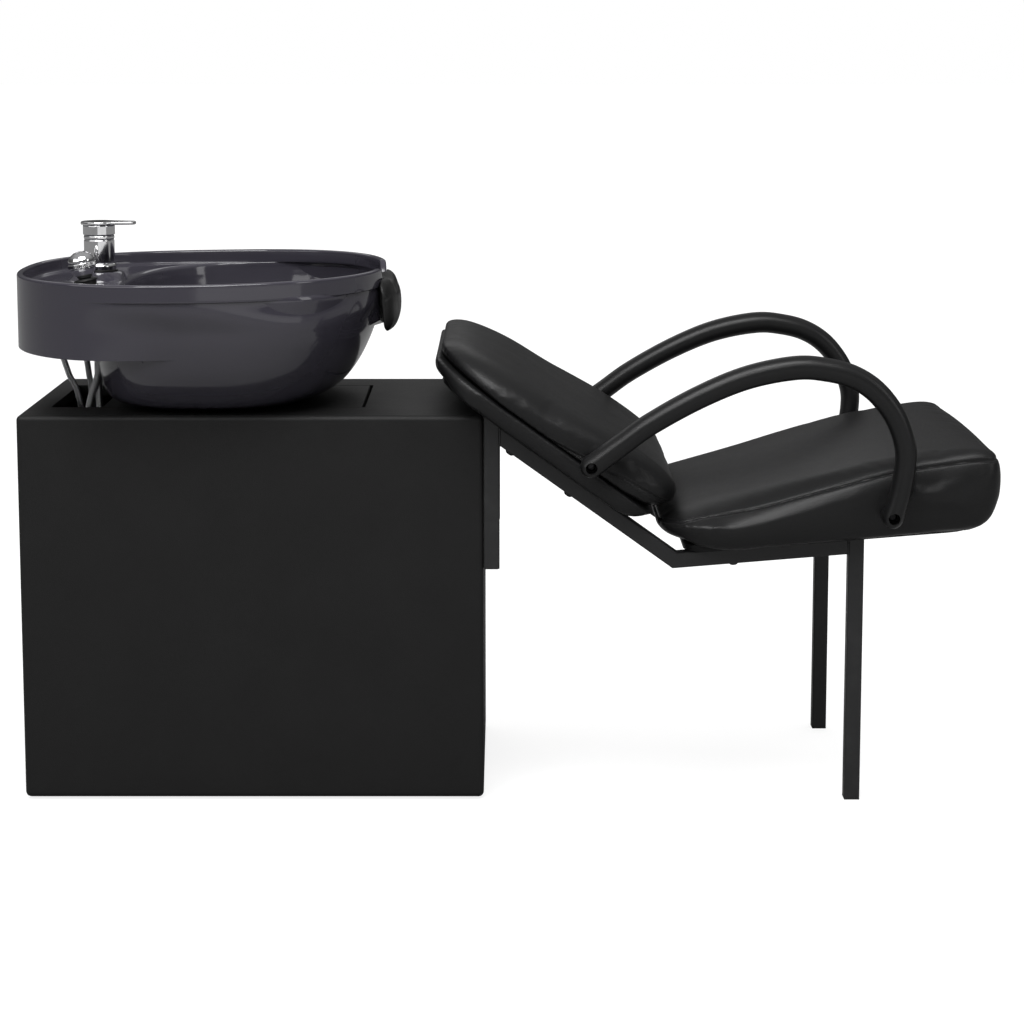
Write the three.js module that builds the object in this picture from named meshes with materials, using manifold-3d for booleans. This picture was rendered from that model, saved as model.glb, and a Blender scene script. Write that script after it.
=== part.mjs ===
// Shampoo backwash unit: wrapped cabinet, tilting basin with mixer tap and pull-out spray,
// and a reclined chair on a square-tube frame that is bolted to the cabinet.
// Millimetres, +Z up, +X from the basin towards the sitter's knees, origin on the floor
// under the middle of the unit.
import * as THREE from 'three';
import { RoundedBoxGeometry } from 'three/addons/geometries/RoundedBoxGeometry.js';
import { mergeVertices } from 'three/addons/utils/BufferGeometryUtils.js';
import Module from 'manifold-3d';

const wasm = await Module();
wasm.setup();

// ---- Driving dimensions ----
const GAP = 0.3;
const SIDES = [['near', -1], ['far', 1]];

const CABINET = { x0: -662.5, x1: -15.5, halfWidth: 191, bottom: 3, top: 548, wall: 15, edge: 8 };
const GLIDE = { radius: 15, inset: 45 };
const CUTOUT = { x0: -627.5, x1: -183.5, halfWidth: 112 };
const FLOOR_OPENING = { x0: -600, x1: -90, halfWidth: 125 };
const SERVICE = { halfWidth: 145, z0: 70, z1: 490, rabbet: 10, depth: 6 };

const TILT_PLATE = { x0: -556, x1: -188, halfWidth: 111.2, thickness: 12 };
const HINGE = { x: -196, z: 527.5, pinRadius: 5, knuckleRadius: 9.5, knuckleHalf: 60, block: 22 };

const RIM = { centre: -425, a: 267.5, b: 288, top: 736, depth: 23, thickness: 9, step: 3, exponent: 2.4 };
const DECK = { z: 718, thickness: 7, bandBottom: 633, wallEndX: -640, frontX: -455, skin: 6 };
const BASIN_WALL = 6;
const BASIN = [
  { z: 548.5, x0: -497, x1: -297, b: 135 },
  { z: 553, x0: -528, x1: -268, b: 165 },
  { z: 563, x0: -548, x1: -240, b: 195 },
  { z: 580, x0: -557, x1: -216, b: 222 },
  { z: 610, x0: -560, x1: -194, b: 250 },
  { z: 650, x0: -560, x1: -176, b: 268 },
  { z: 690, x0: -560, x1: -166, b: 277 },
  { z: 715, x0: -560, x1: -160, b: 281 },
];
const BASIN_BACK_X = -533;
const BODY_REAR_EXPONENT = 3.4;
const NECK = { radius: 150, bowlDip: 34, restDip: 22, halfWidth: 104 };
const WASTE = { x: -430, flangeRadius: 34, tubeRadius: 20.5, bore: 17.5 };

const TAP = { x: -573, y: 0, plinth: 731, bodyRadius: 22, bodyTop: 784, capTop: 798.5, shank: 15 };
const LEVER = { back: 26, reach: 54, halfWidth: 17, thickness: 4.6 };
const SPRAY = { x: -580, y: -72, lean: -0.2, headRadius: 19.5, stemRadius: 9 };

const TUBE = { size: 22, wall: 1.6, centreY: 180 };
const RAIL = {
  head: [-11.5, 532.2],
  bend: [250.8, 343.7],
  front: [491.2, 363.4],
};
const UPRIGHT = { x0: -15.2, z0: 332, z1: 547.5 };
const LEG = { x: 503.5, bottom: 3 };
const CHAIR_HALF_WIDTH = 248;
const BOARD = { thickness: 10, halfWidth: 205 };
const ARM = { y: 269, halfHeight: 15.5, halfWidth: 18 };

// ---- Materials ----
const paint = (color, roughness, metalness) =>
  new THREE.MeshStandardMaterial({ color, roughness, metalness });
const WRAP = paint(0x272727, 0.5, 0);
const ABS = paint(0x3b3941, 0.15, 0);
const CHROME = paint(0xd9d9d9, 0.08, 1);
const STEEL = paint(0x303030, 0.45, 0.6);
const ZINC = paint(0x9a9a98, 0.35, 0.9);
const LEATHER = paint(0x262626, 0.38, 0);
const RUBBER = paint(0x1b1b1b, 0.7, 0);
const ARM_SKIN = paint(0x222222, 0.42, 0);
const PLYWOOD = paint(0xb08d5f, 0.8, 0);
const BRAID = paint(0xb8b8b8, 0.3, 0.9);

const unit = new THREE.Group();

function add(name, geometry, material) {
  const mesh = new THREE.Mesh(geometry, material);
  mesh.name = name;
  unit.add(mesh);
  return mesh;
}

// ---- Solids ----
function solid(geometry) {
  const bare = geometry.index ? geometry.toNonIndexed() : geometry.clone();
  bare.deleteAttribute('normal');
  bare.deleteAttribute('uv');
  const merged = mergeVertices(bare, 1e-3);
  return new wasm.Manifold(new wasm.Mesh({
    numProp: 3,
    vertProperties: new Float32Array(merged.attributes.position.array),
    triVerts: new Uint32Array(merged.index.array),
  }));
}

function geometryOf(manifold) {
  const mesh = manifold.getMesh();
  const geometry = new THREE.BufferGeometry();
  geometry.setAttribute('position', new THREE.BufferAttribute(mesh.vertProperties, 3));
  geometry.setIndex(new THREE.BufferAttribute(mesh.triVerts, 1));
  geometry.computeVertexNormals();
  return geometry;
}

function box(x0, x1, y0, y1, z0, z1) {
  const geometry = new THREE.BoxGeometry(x1 - x0, y1 - y0, z1 - z0);
  return geometry.translate((x0 + x1) / 2, (y0 + y1) / 2, (z0 + z1) / 2);
}

function cylinder(x, y, z0, z1, radius, sides = 24) {
  const geometry = new THREE.CylinderGeometry(radius, radius, z1 - z0, sides);
  return geometry.rotateX(Math.PI / 2).translate(x, y, (z0 + z1) / 2);
}

// A cylinder that lies along Y.
function crossCylinder(x, z, y0, y1, radius, sides = 20) {
  const geometry = new THREE.CylinderGeometry(radius, radius, y1 - y0, sides);
  return geometry.translate(x, (y0 + y1) / 2, z);
}

// A turned piece about the vertical: profile pairs are [radius, z].
function turned(x, y, profile, sides = 20) {
  const points = profile.map(([r, z]) => new THREE.Vector2(r, z));
  const geometry = new THREE.LatheGeometry(points, sides);
  return geometry.rotateX(Math.PI / 2).translate(x, y, 0);
}

// An XZ outline pushed out along Y, with rounded side edges when bevel is above zero.
function slab(shape, y0, y1, bevel = 0, bevelSegments = 2, curveSegments = 8) {
  const geometry = new THREE.ExtrudeGeometry(shape, {
    depth: y1 - y0 - 2 * bevel,
    bevelEnabled: bevel > 0,
    bevelThickness: bevel,
    bevelSize: bevel,
    bevelOffset: -bevel,
    bevelSegments,
    curveSegments,
  });
  return geometry.rotateX(Math.PI / 2).translate(0, y1 - bevel, 0);
}

function outline(points) {
  return new THREE.Shape(points.map(([x, z]) => new THREE.Vector2(x, z)));
}

function smoothOutline(points, count) {
  const curve = new THREE.SplineCurve([...points, points[0]].map(([x, z]) => new THREE.Vector2(x, z)));
  const round = curve.getPoints(count);
  round.pop();
  return new THREE.Shape(round);
}

// A closed skin through rings of equal point counts, capped flat at both ends.
function loft(rings) {
  const count = rings[0].length;
  const positions = rings.flat(2);
  const index = [];
  for (let level = 0; level < rings.length - 1; level += 1) {
    for (let i = 0; i < count; i += 1) {
      const a = level * count + i;
      const b = level * count + (i + 1) % count;
      index.push(a, b, b + count, a, b + count, a + count);
    }
  }
  const last = (rings.length - 1) * count;
  for (let i = 1; i < count - 1; i += 1) {
    index.push(0, i + 1, i);
    index.push(last, last + i, last + i + 1);
  }
  const geometry = new THREE.BufferGeometry();
  geometry.setAttribute('position', new THREE.Float32BufferAttribute(positions, 3));
  geometry.setIndex(index);
  return geometry;
}

// A squarish oval at height z; its rear half (low x) may be squarer than its front half.
function ovalRing(x0, x1, b, z, rearExponent = RIM.exponent, count = 32) {
  const ring = [];
  for (let i = 0; i < count; i += 1) {
    const angle = i * 2 * Math.PI / count;
    const c = Math.cos(angle);
    const s = Math.sin(angle);
    const power = 2 / (c < 0 ? rearExponent : RIM.exponent);
    const x = Math.sign(c) * Math.abs(c) ** power * (x1 - x0) / 2;
    ring.push([(x0 + x1) / 2 + x, Math.sign(s) * Math.abs(s) ** power * b, z]);
  }
  return ring;
}

// The deck's outer wall: the rim's outline at the rear, drawn in to the body's towards the front.
function deckRings(levels, inset) {
  return levels.map((z) => {
    const upper = BASIN.find((s) => s.z >= z);
    const lower = BASIN[BASIN.indexOf(upper) - 1];
    const mix = (key) => THREE.MathUtils.mapLinear(z, lower.z, upper.z, lower[key], upper[key]);
    const body = ovalRing(mix('x0') + inset, mix('x1') - inset, mix('b') - inset, z, BODY_REAR_EXPONENT);
    const rimEnd = RIM.a - inset;
    const rim = ovalRing(RIM.centre - rimEnd, RIM.centre + rimEnd, RIM.b - inset, z);
    return rim.map(([x, y], i) => {
      const share = 1 - THREE.MathUtils.smoothstep(x, DECK.wallEndX, DECK.frontX);
      return [x * share + body[i][0] * (1 - share), y * share + body[i][1] * (1 - share), z];
    });
  });
}

function rimPrism(inset, z0, z1) {
  const x0 = RIM.centre - RIM.a + inset;
  const x1 = RIM.centre + RIM.a - inset;
  return solid(loft([z0, z1].map((z) => ovalRing(x0, x1, RIM.b - inset, z))));
}

function hose(points, radius, steps) {
  const curve = new THREE.CatmullRomCurve3(points.map((p) => new THREE.Vector3(...p)));
  const section = new THREE.Shape();
  section.absarc(0, 0, radius, 0, 2 * Math.PI);
  return new THREE.ExtrudeGeometry(section, { steps, extrudePath: curve, curveSegments: 4 });
}

// ---- Cabinet ----
function makeCabinet() {
  const { x0, x1, halfWidth, bottom, top, wall, edge } = CABINET;
  const body = new RoundedBoxGeometry(x1 - x0, 2 * halfWidth, top - bottom, 3, edge);
  body.translate((x0 + x1) / 2, 0, (top + bottom) / 2);
  const inside = box(x0 + wall, x1 - wall, -halfWidth + wall, halfWidth - wall, bottom + wall, top - wall);
  const topCut = box(CUTOUT.x0, CUTOUT.x1, -CUTOUT.halfWidth, CUTOUT.halfWidth, top - wall - 5, top + 5);
  const floorCut = box(FLOOR_OPENING.x0, FLOOR_OPENING.x1,
    -FLOOR_OPENING.halfWidth, FLOOR_OPENING.halfWidth, bottom - 5, bottom + wall + 5);
  const { halfWidth: half, z0, z1, rabbet, depth } = SERVICE;
  const rearCut = box(x0 - 5, x0 + wall + 5, -half, half, z0, z1);
  const rebate = box(x0 - 5, x0 + depth, -half - rabbet, half + rabbet, z0 - rabbet, z1 + rabbet);
  const shell = [inside, topCut, floorCut, rearCut, rebate]
    .reduce((left, cut) => left.subtract(solid(cut)), solid(body));
  add('cabinet_shell', geometryOf(shell), WRAP);

  const gap = 0.8;
  const panel = box(x0, x0 + depth - GAP, -half - rabbet + gap, half + rabbet - gap,
    z0 - rabbet + gap, z1 + rabbet - gap);
  add('rear_service_panel', panel, WRAP);
  for (const [side, sign] of SIDES) {
    const screw = new THREE.CylinderGeometry(3, 6, 1.6, 16).rotateZ(Math.PI / 2);
    screw.translate(x0 - GAP - 0.8, sign * (half - 12), (z0 + z1) / 2);
    add(`panel_screw_${side}`, screw, ZINC);
  }
  let number = 1;
  for (const x of [x0 + GLIDE.inset, x1 - GLIDE.inset]) {
    for (const [, sign] of SIDES) {
      const y = sign * (halfWidth - GLIDE.inset);
      add(`floor_glide_${number}`, cylinder(x, y, 0, bottom - GAP, GLIDE.radius, 20), RUBBER);
      number += 1;
    }
  }
}

// ---- Tilting plate under the bowl, on a pin in two blocks ----
function makeTiltPlate() {
  const { x0, x1, halfWidth, thickness } = TILT_PLATE;
  const top = CABINET.top;
  const { x, z, pinRadius, knuckleRadius, knuckleHalf, block } = HINGE;
  const knuckle = crossCylinder(x, z, -knuckleHalf, knuckleHalf, knuckleRadius);
  const plate = solid(box(x0, x1, -halfWidth, halfWidth, top - thickness, top))
    .add(solid(knuckle))
    .subtract(solid(crossCylinder(x, z, -halfWidth, halfWidth, pinRadius + 0.1)))
    .subtract(solid(cylinder(WASTE.x, 0, top - 20, top + 5, WASTE.tubeRadius + 1)));
  add('tilt_plate', geometryOf(plate), WRAP);
  const reach = knuckleHalf + 4 + block;
  add('tilt_hinge_pin', crossCylinder(x, z, -reach, reach, pinRadius), ZINC);
  for (const [side, sign] of SIDES) {
    const near = knuckleHalf + 2;
    const [y0, y1] = sign > 0 ? [near, near + block] : [-near - block, -near];
    const blockTop = top - CABINET.wall - GAP;
    const bracket = solid(box(x - 13, x + 50, y0, y1, blockTop - 22, blockTop))
      .subtract(solid(crossCylinder(x, z, y0 - 2, y1 + 2, pinRadius + 0.1)));
    add(`tilt_hinge_block_${side}`, geometryOf(bracket), STEEL);
  }
}

// ---- Bowl ----
function makeBowl() {
  const deckTop = DECK.z;
  const bandTop = RIM.top - RIM.depth;
  const deckWall = solid(loft(deckRings([DECK.bandBottom, 675, bandTop + 1], 0)));
  const band = rimPrism(0, bandTop, RIM.top).add(deckWall);
  const wall = BASIN_WALL;
  const body = solid(loft(BASIN.map((s) => ovalRing(s.x0, s.x1, s.b, s.z, BODY_REAR_EXPONENT))))
    .intersect(rimPrism(RIM.step, 500, 780));
  const cavityRings = BASIN.map((s) => {
    const back = Math.max(s.x0 + wall + 2, BASIN_BACK_X + (715 - s.z) * 0.12);
    return ovalRing(back, s.x1 - wall, s.b - wall, s.z + (s.z < 600 ? wall : 0));
  });
  cavityRings.push(ovalRing(BASIN_BACK_X, -168, 270, RIM.top + 5));
  const cavity = solid(loft(cavityRings)).intersect(rimPrism(RIM.step + wall, 500, 780));
  const deckSpace = solid(loft(deckRings([DECK.bandBottom - 10, 675, deckTop - DECK.thickness], DECK.skin)))
    .subtract(solid(box(-562, 0, -400, 400, 600, 760)));
  const tapPocket = solid(cylinder(TAP.x, TAP.y, DECK.bandBottom - 10, deckTop - DECK.thickness, 27));
  const plinth = turned(TAP.x, TAP.y, [[0, 712], [44, 712], [42, 722], [34, TAP.plinth], [0, TAP.plinth]]);
  const sprayPocket = solid(leaned(cylinder(0, 0, -125, -DECK.thickness, SPRAY.stemRadius + 7)));
  const tapHole = solid(cylinder(TAP.x, TAP.y, 700, 745, TAP.shank + 2));
  const sprayHole = solid(leaned(cylinder(0, 0, -30, 40, SPRAY.stemRadius + 7)));
  const notch = solid(neckCylinder(NECK.radius, NECK.bowlDip));
  const wasteHole = solid(cylinder(WASTE.x, 0, 540, 570, WASTE.tubeRadius + 1));
  const rimInside = rimPrism(RIM.thickness, deckTop, RIM.top + 10);
  const shell = band.add(body)
    .subtract(rimInside)
    .add(solid(plinth))
    .subtract(cavity)
    .subtract(deckSpace)
    .subtract(tapPocket)
    .subtract(sprayPocket)
    .subtract(tapHole)
    .subtract(sprayHole)
    .subtract(notch)
    .subtract(wasteHole);
  add('bowl_shell', geometryOf(shell), ABS);
}

// The cylinder, lying along X over the front of the rim, that the neck lies in.
function neckCylinder(radius, dip) {
  const geometry = new THREE.CylinderGeometry(radius, radius, 130, 48).rotateZ(Math.PI / 2);
  return geometry.translate(RIM.centre + RIM.a - 5, 0, RIM.top - dip + radius);
}

function makeNeckRest() {
  const front = RIM.centre + RIM.a;
  const profile = smoothOutline([
    [front - 22, 706], [front - 22, 726], [front - 10, 737], [front + 6, 736], [front + 18, 722],
    [front + 24.5, 700], [front + 23, 678], [front + 15, 662], [front + 8, 664], [front + 6, 678],
    [front - 1, 684], [front - 8, 698],
  ], 40);
  const clear = 0.4;
  const wallRing = rimPrism(-clear, 640, 760).subtract(rimPrism(RIM.thickness + 4, 630, 770))
    .subtract(solid(neckCylinder(NECK.radius - clear, NECK.bowlDip - clear)));
  const pad = solid(slab(profile, -NECK.halfWidth, NECK.halfWidth))
    .subtract(wallRing)
    .subtract(solid(neckCylinder(NECK.radius + 30, NECK.restDip)))
    .subtract(solid(box(-700, front - 30, -400, 400, 600, 800)));
  add('neck_rest', geometryOf(pad), RUBBER);
}

function makeWaste() {
  const { x, flangeRadius, tubeRadius, bore } = WASTE;
  const base = 548.5 + BASIN_WALL;
  const flange = turned(x, 0, [
    [bore, 500], [tubeRadius, 500], [tubeRadius, base + GAP], [flangeRadius, base + GAP],
    [flangeRadius, base + 2], [flangeRadius - 6, base + 4], [bore + 3, base + 3], [bore, base + 1],
    [bore, 500],
  ]);
  add('waste_flange', flange, CHROME);
  const strainer = turned(x, 0, [
    [0, 538], [bore - 2, 538], [bore - 0.8, base + 3.5], [bore + 6, base + 4.6], [bore + 5, base + 7],
    [5, base + 9], [4, base + 13], [6.5, base + 17], [0, base + 19],
  ]);
  add('hair_strainer', strainer, CHROME);
  const plateBottom = CABINET.top - TILT_PLATE.thickness;
  const nut = turned(x, 0, [
    [tubeRadius + 0.3, plateBottom - 14], [33, plateBottom - 14], [33, plateBottom - GAP],
    [tubeRadius + 0.3, plateBottom - GAP], [tubeRadius + 0.3, plateBottom - 14],
  ], 6 * 4);
  add('waste_nut', nut, RUBBER);
  add('drain_hose', hose([
    [x, 0, 499.6], [x, 0, 450], [x - 30, 0, 350], [x - 90, 0, 240], [x - 110, 0, 130], [x - 110, 0, 22],
  ], 19, 18), RUBBER);
}

// ---- Mixer tap and pull-out spray ----
function makeTap() {
  const { x, y, plinth, bodyRadius, bodyTop, capTop, shank } = TAP;
  const gasketTop = plinth + 2.4;
  add('tap_gasket', turned(x, y, [
    [shank + 0.4, plinth + GAP], [26, plinth + GAP], [26, gasketTop], [shank + 0.4, gasketTop],
    [shank + 0.4, plinth + GAP],
  ]), RUBBER);
  const r = bodyRadius;
  add('mixer_body', turned(x, y, [
    [0, 690], [shank, 690], [shank, gasketTop + GAP], [r + 2, gasketTop + GAP], [r + 2, gasketTop + 6],
    [r + 1, gasketTop + 8], [r - 0.5, gasketTop + 10], [r, bodyTop - 4], [r - 1, bodyTop], [0, bodyTop],
  ]), CHROME);
  const under = DECK.z - DECK.thickness - GAP;
  const nut = solid(cylinder(x, y, under - 9, under, 24, 6))
    .subtract(solid(cylinder(x, y, under - 12, under + 3, shank + 0.5, 20)));
  add('mixer_nut', geometryOf(nut), ZINC);
  add('lever_cap', turned(x, y, [
    [0, bodyTop + GAP], [r + 1, bodyTop + GAP], [r + 1, capTop - 1], [r, capTop], [0, capTop],
  ]), CHROME);
  const { back, reach, halfWidth, thickness } = LEVER;
  const plan = new THREE.Shape();
  plan.absarc(0, 0, back, 0.72, 2 * Math.PI - 0.72);
  plan.lineTo(reach - 6, -halfWidth + 7);
  plan.absarc(reach - 6, 0, halfWidth - 7, -Math.PI / 2, Math.PI / 2);
  const blade = new THREE.ExtrudeGeometry(plan, { depth: thickness, bevelEnabled: false, curveSegments: 10 });
  add('mixer_lever', blade.translate(x, y, capTop + GAP), CHROME);
}

// Places geometry that is built about a vertical axis onto the spray's leaning axis.
function leaned(geometry) {
  return geometry.rotateY(SPRAY.lean).translate(SPRAY.x, SPRAY.y, DECK.z);
}

function makeSpray() {
  const r = SPRAY.stemRadius;
  const R = SPRAY.headRadius;
  const collar = [
    [r + 0.6, -20], [r + 5.5, -20], [r + 5.5, 5.5], [r + 8, 5.5], [r + 6, 9], [r + 0.6, 9], [r + 0.6, -20],
  ];
  add('spray_socket', leaned(turned(0, 0, collar)), RUBBER);
  add('spray_grip', leaned(turned(0, 0, [
    [0, -52], [r - 1, -52], [r, -48], [r, 10], [R - 5, 15], [R - 0.5, 24.5], [0, 24.5],
  ])), CHROME);
  add('spray_knurl_ring', leaned(turned(0, 0, [
    [0, 24.8], [R, 24.8], [R + 0.8, 26], [R + 0.8, 31], [R, 32.2], [0, 32.2],
  ])), CHROME);
  add('spray_dome', leaned(turned(0, 0, [
    [0, 32.5], [R - 0.5, 32.5], [R - 1, 37], [R - 4.5, 43], [R - 10, 47], [0, 48.5],
  ])), CHROME);
  const sine = Math.sin(SPRAY.lean);
  const cosine = Math.cos(SPRAY.lean);
  const along = (d) => [SPRAY.x + d * sine, SPRAY.y, DECK.z + d * cosine];
  add('spray_hose', hose([
    along(-52.3), along(-76), along(-100), [-568, -66, 586], [-581, -59, 548], [-589, -53, 500],
    [-592, -50, 430], [-593, -49, 360], [-588, -42, 312], [-579, -29, 296], [-570, -16, 312],
    [-566, -9, 360], [-567, -8, 430], [-575, -8, 520], [-577, -8.6, 600], [-573, -8.8, 660],
    [-573, -8.8, 689.4],
  ], 5.5, 46), BRAID);
}

const HOT_ROUTE = [
  [-580.5, 6, 689.4], [-581.5, 6.5, 672], [-606, 16, 650], [-622, 20, 622], [-612, 22, 580],
  [-603, 24, 540], [-598, 26, 430], [-592, 30, 250], [-590, 30, 130], [-590, 30, 72.2],
];
const COLD_ROUTE = [
  [-566.5, 6, 689.4], [-568, 8, 672], [-600, 38, 650], [-617, 42, 620], [-607, 44, 578],
  [-600, 46, 540], [-594, 50, 400], [-590, 56, 250], [-590, 56, 130], [-590, 56, 72.2],
];

function makeSupplyHoses() {
  for (const [name, route] of [['hot', HOT_ROUTE], ['cold', COLD_ROUTE]]) {
    add(`${name}_supply_hose`, hose(route, 4.5, 36), BRAID);
    const [x, y] = route[route.length - 1];
    add(`${name}_union_nut`, turned(x, y, [[0, 50], [12, 50], [12, 69], [9, 71.8], [0, 71.8]], 6), ZINC);
  }
}

// ---- Frame ----
// A bent run of square tube in the XZ plane: centreline points, offset by half its height.
function tubeSolid(points, half, halfDepth, centreY) {
  const direction = (p, q) => new THREE.Vector2(q[0] - p[0], q[1] - p[1]).normalize();
  const offset = (sign) => points.map((p, i) => {
    const before = i > 0 ? direction(points[i - 1], p) : direction(p, points[i + 1]);
    const after = i < points.length - 1 ? direction(p, points[i + 1]) : before;
    const normal = new THREE.Vector2(-before.y - after.y, before.x + after.x).normalize();
    const stretch = sign * half / normal.dot(new THREE.Vector2(-after.y, after.x));
    return [p[0] + normal.x * stretch, p[1] + normal.y * stretch];
  });
  const shape = outline([...offset(-1), ...offset(1).reverse()]);
  return solid(slab(shape, centreY - halfDepth, centreY + halfDepth));
}

function squareTube(points, centreY) {
  const half = TUBE.size / 2;
  const inner = half - TUBE.wall;
  const first = points[0];
  const last = points[points.length - 1];
  const longer = points.map((p) => [...p]);
  const grow = (p, q) => p.map((value, i) => value + (value - q[i]) * 0.2);
  longer[0] = grow(first, points[1]);
  longer[points.length - 1] = grow(last, points[points.length - 2]);
  return tubeSolid(points, half, half, centreY).subtract(tubeSolid(longer, inner, inner, centreY));
}

// A tie between the rails, flush with their faces: place is onBack or onSeat.
function crossTube(place, u, halfLength) {
  const section = (inset, length) => {
    const side = TUBE.size / 2 - inset;
    const corners = [[u - side, -TUBE.size + inset], [u + side, -TUBE.size + inset],
      [u + side, -inset], [u - side, -inset]];
    return solid(slab(outline(corners.map(([along, v]) => place(along, v))), -length, length));
  };
  return section(0, halfLength).subtract(section(TUBE.wall, halfLength + 5));
}

const slopeLength = Math.hypot(RAIL.bend[0] - RAIL.head[0], RAIL.bend[1] - RAIL.head[1]);
const DOWN = [(RAIL.bend[0] - RAIL.head[0]) / slopeLength, (RAIL.bend[1] - RAIL.head[1]) / slopeLength];
const OUT = [-DOWN[1], DOWN[0]];
const seatLength = Math.hypot(RAIL.front[0] - RAIL.bend[0], RAIL.front[1] - RAIL.bend[1]);
const FORWARD = [(RAIL.front[0] - RAIL.bend[0]) / seatLength, (RAIL.front[1] - RAIL.bend[1]) / seatLength];
const UP = [-FORWARD[1], FORWARD[0]];

// u runs down the back rail from its head, v stands off its upper face.
function onBack(u, v) {
  const lift = v + TUBE.size / 2;
  return [RAIL.head[0] + u * DOWN[0] + lift * OUT[0], RAIL.head[1] + u * DOWN[1] + lift * OUT[1]];
}

// u runs forward along the seat rail from the bend, v stands off its upper face.
function onSeat(u, v) {
  const lift = v + TUBE.size / 2;
  return [RAIL.bend[0] + u * FORWARD[0] + lift * UP[0], RAIL.bend[1] + u * FORWARD[1] + lift * UP[1]];
}

function makeFrame() {
  const half = TUBE.size / 2;
  const uprightX = UPRIGHT.x0 + half;
  const mitre = solid(box(-100, UPRIGHT.x0 + TUBE.size + GAP, -300, 300, 200, 560));
  const above = solid(slab(outline([onBack(-90, 0), onBack(60, 0), onBack(60, 90), onBack(-90, 90)]), -300, 300));
  for (const [side, sign] of SIDES) {
    const y = sign * TUBE.centreY;
    const upright = squareTube([[uprightX, UPRIGHT.z1], [uprightX, UPRIGHT.z0]], y).subtract(above);
    add(`upright_${side}`, geometryOf(upright), STEEL);
    const head = [RAIL.head[0] - 30 * DOWN[0], RAIL.head[1] - 30 * DOWN[1]];
    const rail = squareTube([head, RAIL.bend, RAIL.front], y).subtract(mitre);
    add(`side_rail_${side}`, geometryOf(rail), STEEL);
    const legTop = RAIL.front[1] + half + 0.2;
    const leg = squareTube([[LEG.x, LEG.bottom], [LEG.x, legTop]], y);
    add(`front_leg_${side}`, geometryOf(leg), STEEL);
    add(`leg_foot_${side}`, box(LEG.x - half, LEG.x + half, y - half, y + half, 0, LEG.bottom - GAP), RUBBER);
  }
  const inside = TUBE.centreY - half - GAP;
  add('cross_tube_back', geometryOf(crossTube(onBack, 110, inside)), STEEL);
  add('cross_tube_seat', geometryOf(crossTube(onSeat, 40, inside)), STEEL);
  add('cross_tube_front', geometryOf(crossTube(onSeat, 226, inside)), STEEL);
}

// Button-head bolts under the rails, into the cushion boards.
function makeFrameBolts() {
  const places = [
    ['back_upper', DOWN, OUT, RAIL.head, 48],
    ['back_lower', DOWN, OUT, RAIL.head, 148],
    ['seat', FORWARD, UP, RAIL.bend, 82],
  ];
  for (const [name, along, normal, origin, distance] of places) {
    for (const [side, sign] of SIDES) {
      const lift = -TUBE.size / 2 - GAP;
      const head = new THREE.CylinderGeometry(6.5, 4, 3.2, 16).rotateX(Math.PI / 2).translate(0, 0, -1.6);
      head.rotateY(-Math.atan2(along[1], along[0]));
      head.translate(origin[0] + distance * along[0] + lift * normal[0], sign * TUBE.centreY,
        origin[1] + distance * along[1] + lift * normal[1]);
      add(`${name}_bolt_${side}`, head, ZINC);
    }
  }
}

// ---- Chair ----
// A pad across the chair: a smooth side outline in (u, v), drawn in towards its middle
// near both sides so that the side edges are round.
function padSolid(place, points, halfWidth, edge, count) {
  const curve = new THREE.SplineCurve([...points, points[0]].map(([u, v]) => new THREE.Vector2(u, v)));
  const round = curve.getPoints(count);
  round.pop();
  const box2 = new THREE.Box2().setFromPoints(round);
  const middle = box2.getCenter(new THREE.Vector2());
  const reach = box2.getSize(new THREE.Vector2()).multiplyScalar(0.5);
  const steps = 4;
  const ringAt = (y, inset) => round.map((p) => {
    const u = middle.x + (p.x - middle.x) * (1 - inset / reach.x);
    const v = middle.y + (p.y - middle.y) * (1 - inset / reach.y);
    const [x, z] = place(u, v);
    return [x, y, z];
  });
  const rings = [];
  for (let i = 0; i <= steps; i += 1) {
    const angle = i * Math.PI / 2 / steps;
    rings.push(ringAt(-halfWidth + edge * (1 - Math.sin(angle)), edge * (1 - Math.cos(angle)) * 0.8));
  }
  const mirrored = rings.map((ring) => ring.map(([x, y, z]) => [x, -y, z])).reverse();
  return loft([...mirrored, ...rings]);
}

function makeChair() {
  const half = BOARD.halfWidth;
  const quad = (place, u0, u1, v0, v1) =>
    outline([place(u0, v0), place(u1, v0), place(u1, v1), place(u0, v1)]);
  const top = BOARD.thickness;
  add('back_board', slab(quad(onBack, -85, 235, GAP, top), -half, half), PLYWOOD);
  const cover = [
    [-104, 14], [-60, 10.6], [60, 10.6], [200, 10.6], [240, 13],
    [252, 24], [238, 29], [100, 29], [-60, 29], [-112, 27],
  ];
  add('back_cover', padSolid(onBack, cover, CHAIR_HALF_WIDTH - 4, 8, 30), LEATHER);
  const pad = [
    [-113, 42], [-100, 31], [-40, 29.9], [100, 29.9], [236, 30.3], [259, 40], [271, 58],
    [260, 76], [225, 85], [150, 86], [50, 74], [-60, 75], [-100, 66],
  ];
  add('back_cushion', padSolid(onBack, pad, CHAIR_HALF_WIDTH, 26, 39), LEATHER);

  add('seat_board', slab(quad(onSeat, 14, 420, GAP, top), -half, half), PLYWOOD);
  const seat = [
    [-30, 52], [-24, 42], [-6, 26], [22, 15], [70, 11], [220, 10.8], [380, 12.5], [430, 20],
    [447, 50], [446, 92], [432, 110], [390, 112], [300, 105], [200, 95], [110, 79], [40, 69], [0, 64.5], [-22, 60],
  ];
  add('seat_cushion', padSolid(onSeat, seat, CHAIR_HALF_WIDTH, 28, 40), LEATHER);
}

// ---- Armrests: closed loops from the back pad's side to the seat pad's side ----
const ARM_LINE = [
  [131, 490], [170, 519], [211, 548.6], [276, 585], [341, 612], [406, 625], [450, 622], [485, 612],
  [515, 592], [540, 560], [554, 524], [556, 494], [550, 455], [540.5, 420.5],
];

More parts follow.
